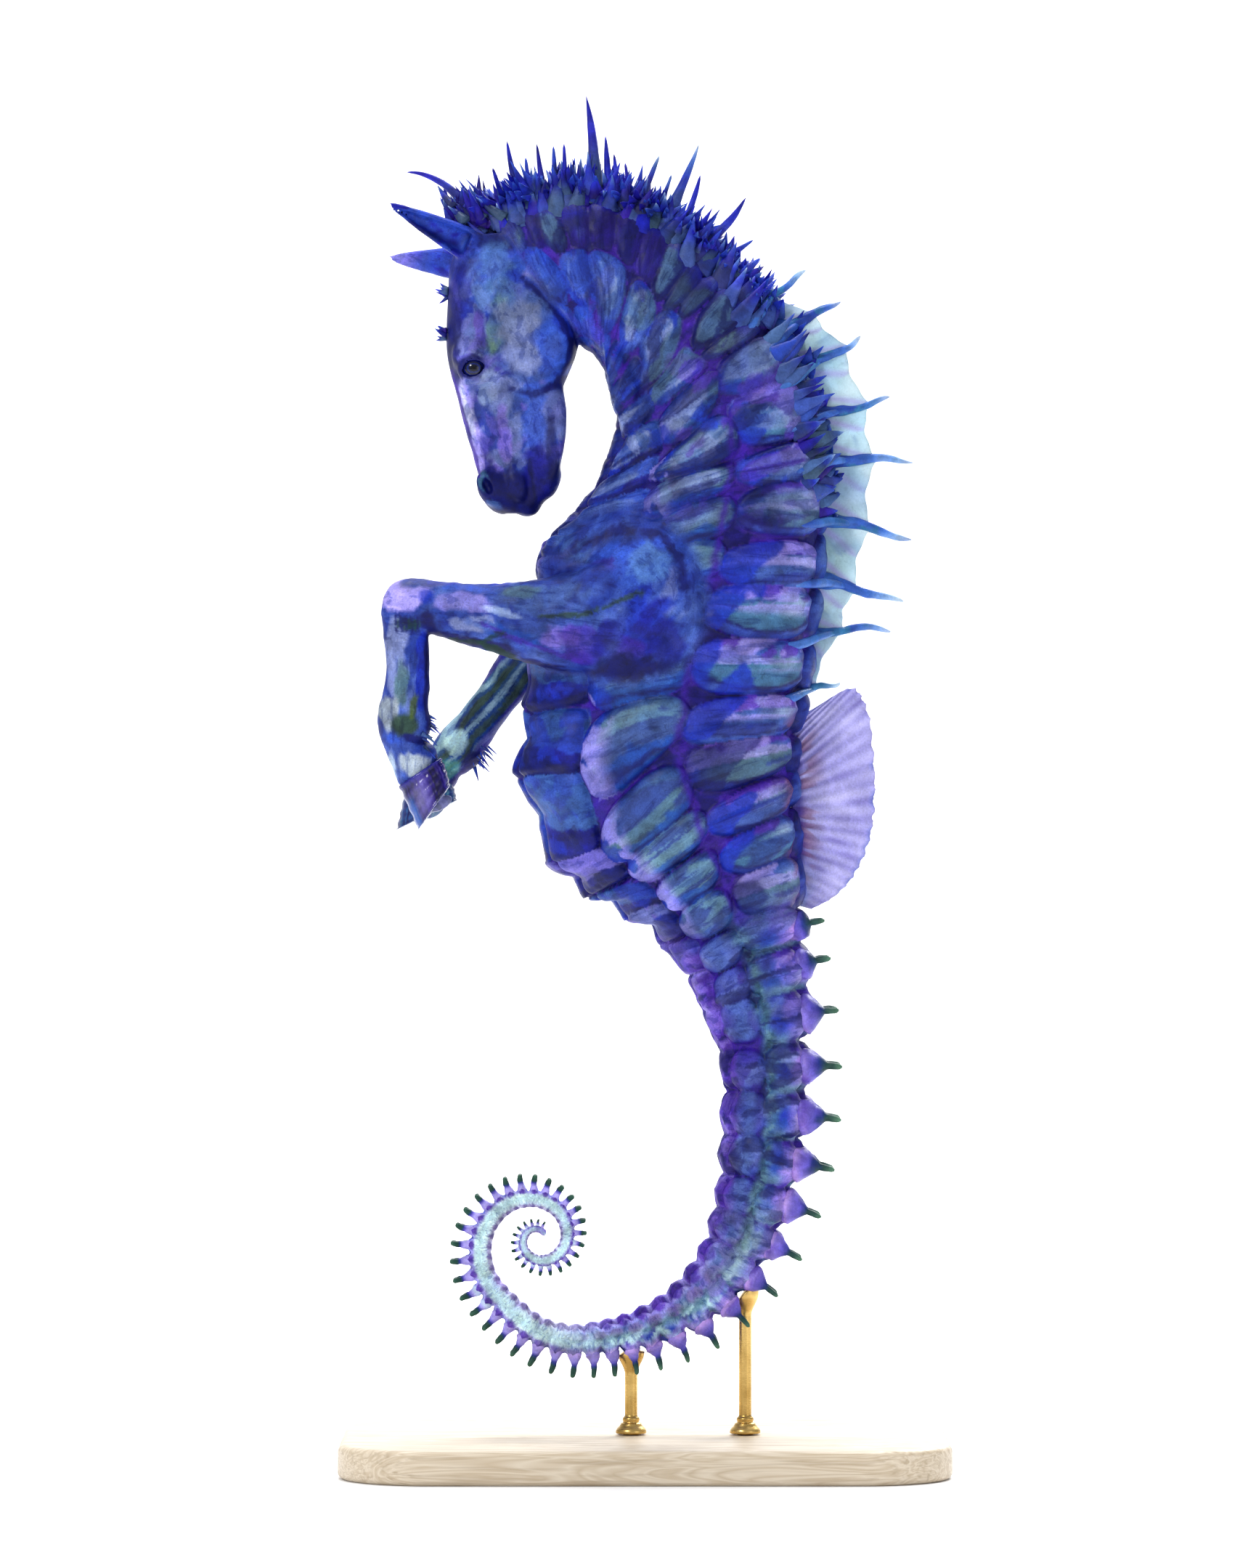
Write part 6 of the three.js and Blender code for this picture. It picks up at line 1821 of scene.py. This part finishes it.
def make_fin():
    """A fan of soft rays with a frayed edge."""
    columns, rows = 241, 30
    s = np.linspace(0, 1, columns)
    edge = catmull_rom(np.array(FIN_EDGE, float), s * (len(FIN_EDGE) - 1))
    at = np.linspace(*FIN_STATIONS, columns)
    middle, span, _ = BODY.section(at)
    foot = middle + span * 0.93
    r = np.linspace(0, 1, rows)
    ray = np.cos(2 * np.pi * FIN_RAYS * s)
    edge_places = np.stack([s * 300, 0 * s, 0 * s], 1)
    torn = 0.5 * noise(edge_places, 3.1, 111) + 0.5 * noise(edge_places, 1.2, 113)
    reach = 1 - 0.016 + 0.018 * torn + 0.01 * ray
    place = foot[:, None] + (edge - foot)[:, None] * (r[None, :, None] * reach[:, None, None])
    place[..., 1] += 1.2 * (r * (1 - r))[None] * np.sin(3 * np.pi * s)[:, None]
    half = (0.42 - 0.28 * r)[None, :] * (1 + 0.38 * ray[:, None] * smooth(r, 0, 0.2)[None])
    wave = 0.7 * np.sin(2 * np.pi * s + 0.6)[:, None] * (r**1.5)[None]
    wave += 0.22 * np.sin(9 * np.pi * s)[:, None] * (r**3)[None]
    near, far = (np.stack([place[..., 0], wave + k * half, place[..., 1]], 2) for k in (-1, 1))
    vertices, faces = two_sided(near, far, columns, rows)
    share = np.tile(r, 2 * columns)
    along = np.tile(np.repeat(s, rows), 2)
    rays = np.cos(2 * np.pi * FIN_RAYS * along)
    fan = np.stack([along * 90, share * 9, 0 * share], 1)
    paint = Paint(vertices, "fin", 0.45 + 0.16 * rays + 0.3 * noise(fan, 2.5, 115))
    paint.wash("rose", 0.75 * fade(share, 0.12, 0.5) * smooth(noise(fan, 1.6, 117) + 0.1, 0.05, 0.4))
    paint.wash("violet", 0.6 * fade(share, 0.05, 0.3) * smooth(noise(fan, 2.2, 119), 0.0, 0.4))
    paint.wash("indigo", 0.75 * fade(share, 0.08, 0.2))
    paint.wash("blue", 0.5 * smooth(share, 0.93, 1) * smooth(noise(fan, 3, 121), -0.2, 0.3))
    paint.wash("blue", 0.55 * fade(along, 0.03, 0.16) * smooth(share, 0.2, 0.5))
    paint.wash("steel", 0.4 * fade(share, 0.3, 0.6) * smooth(along, 0.75, 0.95))
    fin = mesh_object("dorsal_fin_rays", vertices, faces, FIN, paint.rgb)
    finished(fin, "fin", "dorsal_fin")


# ---- Thorns of the tail ----
def make_thorns():
    """A pair on each ring of the tail, dark green at the tips."""
    thorns = Spikes()
    middles = (JOINTS[1:] + JOINTS[:-1]) / 2
    for number, at in enumerate(middles[middles > TAIL_START]):
        middle, span, wide = BODY.section(at)
        deep = np.linalg.norm(span)
        out = outwards(at)
        centre = np.array([middle[0], 0, middle[1]])
        length = min(3.4 + 0.43 * deep, 1.45 * deep, 4.4 + number)
        tailwards = np.array([out[2], 0, -out[0]])
        for side in (-1, 1):
            root = centre + out * deep * 0.6 + np.array([0, side * wide * 0.42, 0])
            tip = centre + out * (deep + length) + np.array([0, side * (wide * 0.5 + length * 0.22), 0])
            bend = (root + tip) / 2 - tailwards * length * 0.12
            stem = min(max(0.08 * deep, 0.64), 0.3 * deep, 0.6 + 0.1 * number)
            reach = deep * 0.4 + length
            collar = max(1 - 3.4 / reach, 0.56)
            surface = 0.4 * deep / reach
            base = min(0.44 * deep, 3.4 + 0.5 * number)
            shares = (0, 0.7 * surface, surface, (surface + collar) / 2, collar, collar + 0.1, 0.95, 1)
            sizes = (0.5 * base, base, 0.96 * base, 0.55 * base + 0.2, stem, 1.1 * stem, 0.85 * stem, 0.25)
            thorns.add(root, bend, tip, deep * 0.3, sides=14, rings=22, profile=(shares, sizes),
                       tone=chance(number, side, 5) * 0.8 + 0.1, rough=0.16)
    finished(thorns.made("tail_thorns", HORN, paint_thorn), "skin")


def paint_thorn(vertices, along, tone):
    """Violet-blue at the root, nearly black where the stem starts, and grey-green at the tip."""
    uneven = 0.06 * noise(vertices, 1.2, 123)
    shares, values = (0, 0.3, 0.5, 0.6, 0.7, 0.84, 1), (0.0, 0.06, 0.24, 0.5, 0.74, 0.8, 1.0)
    paint = Paint(vertices, "thorn", np.interp(along + uneven, shares, values))
    patch = paint.patches
    paint.wash("lilac", 0.6 * fade(along, 0.15, 0.4) * (tone > 0.4))
    paint.wash("pink", 0.6 * fade(along, 0.16, 0.4) * patch(3, 125, -0.1, 0.1))
    paint.wash("violet", 0.6 * fade(along, 0.3, 0.5) * patch(1.8, 127, 0.15, 0.3))
    at, *_ = BODY.locate(vertices[:, 0], vertices[:, 2])
    coil = smooth(at, COIL_FROM - 6, COIL_FROM + 1)
    paint.washes(coil, (
        ("lavender", 0.8 * fade(along, 0.4, 0.56)),
        ("aqua", 0.5 * fade(along, 0.3, 0.45) * (tone < 0.5)),
        ("dark_green", 0.7 * smooth(along, 0.6, 0.7)),
    ))
    return paint.rgb


# ---- Hooves ----
HOOVES = {  # front and back of each section from the coronet to the ground, half width, and the middle's y
    "left": ([((-57.3, 159.7), (-47.2, 166.4), 4.9), ((-56, 156.6), (-46.3, 164.6), 5.3),
              ((-54.3, 152.8), (-45.6, 162.4), 5.7), ((-52.8, 149.5), (-45.2, 160.2), 6)], -13.3),
    "right": ([((-56.6, 158.8), (-45.6, 162), 4.9), ((-57.3, 155.6), (-44.8, 160.2), 5.3),
               ((-58, 152.4), (-44.3, 158.4), 5.7), ((-58.6, 149.5), (-44, 156.6), 6)], 10),
}


def make_hooves():
    """Horn walls with growth rings, a coronet band, a cupped sole and a frog."""
    for side, (sections, middle_y) in HOOVES.items():
        line = Line(sections)
        sole_front, sole_back = (np.array(p) for p in sections[-1][:2])
        sole = (sole_front + sole_back) / 2
        down = np.array([sole_back[1] - sole_front[1], sole_front[0] - sole_back[0]])
        down = down / np.linalg.norm(down)
        down = down * (1 if down[1] < 0 else -1)

        def shape(p, line=line, middle_y=middle_y, sole=sole, down=down):
            q = (p[0], p[1] - middle_y, p[2])
            f = tube(line, q, HOOF_SQUARENESS)
            cup = sole + down * 1.2
            f = carve(f, ellipsoid(p, (cup[0], middle_y, cup[1]), (4.4, 4.2, 2.4), -20), 0.5)
            frog = sole - down * 0.2
            return join(f, ellipsoid(p, (frog[0] + 1.6, middle_y, frog[1] + 0.8), (3, 1.1, 1.5), 30), 0.4)

        low, high = (v / MM for v in (np.array(c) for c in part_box("hoof_" + side)))
        vertices, faces = sculpted(shape, low - 2, high + 2, 0.3)
        at, t, _, deep, _ = line.locate(vertices[:, 0], vertices[:, 2])
        down_wall = at / 3
        fibres = np.arctan2(vertices[:, 1] - middle_y, t * deep) * 8
        grown = np.stack([fibres, down_wall * 2, 0 * at], 1)
        out = np.stack([vertices[:, 0] - vertices[:, 0].mean(), vertices[:, 1] - middle_y, 0 * at], 1)
        out /= np.maximum(np.linalg.norm(out, axis=1), 0.1)[:, None]
        wall = smooth(down_wall, 0.04, 0.12) * fade(down_wall, 0.93, 0.99)
        relief = 0.1 * np.sin(26 * down_wall) * wall + 0.07 * noise(grown, 0.5, 131) * wall
        relief -= 0.3 * smooth(down_wall, 0.06, 0.14) * wall
        vertices = vertices + out * relief[:, None]
        ramp = "hoof" if side == "left" else "far_hoof"
        value = 0.34 + 0.1 * np.sin(26 * down_wall + noise(grown, 1, 133))
        value += 0.5 * noise(grown * (1, 0.4, 1), 0.7, 135)
        paint = Paint(vertices, ramp, value)
        # Painted highlight in lavender on the near hoof's wall.
        paint.wash("lavender", 0.34 * bell(t + 0.35, 0.3) * bell(down_wall - 0.55, 0.35) * (side == "left"))
        paint.wash("indigo", 0.7 * fade(down_wall, 0.02, 0.2))
        paint.wash("navy", 0.6 * smooth(np.abs(t), 0.75, 1.0))
        paint.wash("deep_blue", 0.8 * (side == "left") * smooth(-t, 0.55, 0.8) * smooth(down_wall, 0.3, 0.5))
        paint.wash("grey", 0.5 * smooth(down_wall, 0.97, 1.0))
        hoof = mesh_object("hoof_wall_" + side, vertices, faces, HOOF, paint.rgb)
        finished(hoof, "hoof", "hoof_" + side)


# ---- Stand ----
BASE_CORNER, BASE_EDGE = 22, 1.6  # radii


def make_base():
    """A flat board with round corners and a rounded edge."""
    low, high = (np.array(v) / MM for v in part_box("stand_base"))
    half, thick = (high - low) / 2, high[2] - low[2]
    turn = np.linspace(0, 2 * np.pi, 96, endpoint=False)
    outline = np.stack([np.cos(turn), np.sin(turn)], 1)
    shoulder = np.sign(np.round(outline, 9)) * (half[:2] - BASE_CORNER)
    rings = []
    arc = np.linspace(0, np.pi / 2, 7)
    profile = [(BASE_EDGE * (1 - math.sin(a)), BASE_EDGE * (1 - math.cos(a))) for a in arc]
    profile += [(d, thick - h) for d, h in reversed(profile)]
    for inset, height in profile:
        ring = shoulder + outline * (BASE_CORNER - inset)
        rings.append(np.column_stack([ring, np.full(len(ring), low[2] + height)]))
    centre = (low + high) / 2
    vertices = np.concatenate(rings) + (centre[0], centre[1], 0)
    sides = len(outline)
    faces = sheet_faces(len(rings), sides, True)
    faces.append(tuple(reversed(range(sides))))
    faces.append(tuple(range((len(rings) - 1) * sides, len(rings) * sides)))
    board = mesh_object("base_board", vertices, faces, ash_wood())
    flat = [len(p.vertices) > 4 for p in board.data.polygons]
    board.data.polygons.foreach_set("use_smooth", [not f for f in flat])
    finished(board, "wood", "stand_base")


def make_rods():
    """Turned rods with a foot and a saddle shaped to the tail."""
    brass = brushed_brass()
    for end in ("front", "rear"):
        node = "stand_rod_" + end
        low, high = (np.array(v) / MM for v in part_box(node))
        x, top = (low[0] + high[0]) / 2, high[2]

        def shape(p, x=x, low=low, top=top):
            px, py, pz = p
            radial = np.hypot(px - x, py)
            spread = 3.6 - 1.2 * smooth(pz - low[2], 0.6, 2.4)
            foot = np.maximum(radial - spread, np.abs(pz - low[2] - 1.2) - 1.2)
            flare = 1.5 + 1.7 * smooth(pz, top - 7.5, top - 2.5)
            rod = np.maximum(radial - flare, np.maximum(low[2] - pz, pz - top))
            collar = np.hypot(radial - 1.5, pz - low[2] - 3.4) - 0.55
            f = join(join(foot, rod, 1.2), collar, 0.3)
            return np.maximum(f, 0.45 - body_tube(p))

        vertices, faces = sculpted(shape, low - 1.2, high + 1.2, 0.3, 1)
        rod = mesh_object("rod_" + end, vertices, faces, brass)
        finished(rod, "brass", node)


# ---- Camera, light and floor ----
SENSOR = 36  # mm
CAMERA_DISTANCE = 1.8  # m
FRAME_HEIGHT = 0.367  # m, at the model
CAMERA_AT = (-0.0058, 0.1603)  # x and z


def make_camera():
    data = bpy.data.cameras.new("camera")
    data.sensor_fit = "VERTICAL"
    data.sensor_width = data.sensor_height = SENSOR
    data.lens = SENSOR * CAMERA_DISTANCE / FRAME_HEIGHT
    camera = bpy.data.objects.new("camera", data)
    camera.location = (CAMERA_AT[0], -CAMERA_DISTANCE, CAMERA_AT[1])
    camera.rotation_euler = (math.pi / 2, 0, 0)
    bpy.context.scene.collection.objects.link(camera)
    bpy.context.scene.camera = camera


def area_light(name, place, aim, size, power):
    data = bpy.data.lights.new(name, "AREA")
    data.shape = "DISK"
    data.size, data.energy = size, power
    light = bpy.data.objects.new(name, data)
    light.location = place
    light.rotation_euler = (Vector(aim) - Vector(place)).to_track_quat("-Z", "Y").to_euler()
    light.visible_camera = False
    bpy.context.scene.collection.objects.link(light)


def make_studio():
    """A pale paper sweep under soft light from the upper left."""
    profile = [(-6.0, 0.0)]
    profile += [(2.8 + math.sin(a), 1 - math.cos(a)) for a in np.linspace(0, math.pi / 2, 16)]
    profile.append((3.8, 6.0))
    vertices = [(x / MM, y / MM, z / MM) for y, z in profile for x in (-6, 6)]
    faces = [(2 * i, 2 * i + 1, 2 * i + 3, 2 * i + 2) for i in range(len(profile) - 1)]
    paper = Shader("paper", Roughness=0.95)
    tooth = paper.noise(2.5, 3.0)
    paper.surfaced("Base Color", paper.mixed((0.9, 0.9, 0.91, 1), (0.86, 0.86, 0.87, 1), tooth))
    mesh_object("floor", vertices, faces, paper.material)
    world = bpy.data.worlds.new("world")
    world.use_nodes = True
    world.node_tree.nodes["Background"].inputs["Color"].default_value = (1, 1, 1, 1)
    world.node_tree.nodes["Background"].inputs["Strength"].default_value = 0.45
    bpy.context.scene.world = world
    area_light("key", (-0.8, -1.1, 1.0), (0, 0, 0.18), 0.4, 11)
    area_light("fill", (0.9, -0.9, 0.3), (0, 0, 0.15), 0.7, 1.5)
    area_light("rim", (0.4, 0.7, 0.7), (0, 0, 0.2), 0.4, 6)
    area_light("top", (0, 0.45, 1.9), (0, 1.3, 0.3), 1.2, 40)
    area_light("backdrop", (0, 1.0, 2.6), (0, 3.8, 1.0), 1.5, 120)
    bpy.context.scene.view_settings.view_transform = "Standard"


HAIR = painted("hair", 0.5, pooling=0.25, rim=0.1, grain=0.1, size=3.0, depth=1.15)
HORN = painted("horn", 0.4, pooling=0.25, rim=0.2, grain=0.1, size=3.0)
WEB = painted("web", 0.4, pooling=0.14, rim=0.14, grain=0.05, bump=0.03, size=7.0, Alpha=0.86)
FIN = painted("fin", 0.5, pooling=0.16, rim=0.12, grain=0.12, bump=0.04, size=4.0)
HOOF = painted("hoof", 0.35, pooling=0.2, rim=0.1, grain=0.1, bump=0.04, size=3.0, Coat_Weight=0.3)

make_skin()
make_eyes()
make_mane()
make_feathers()
make_back_spines()
make_web()
make_fin()
make_thorns()
make_hooves()
make_base()
make_rods()
make_camera()
make_studio()
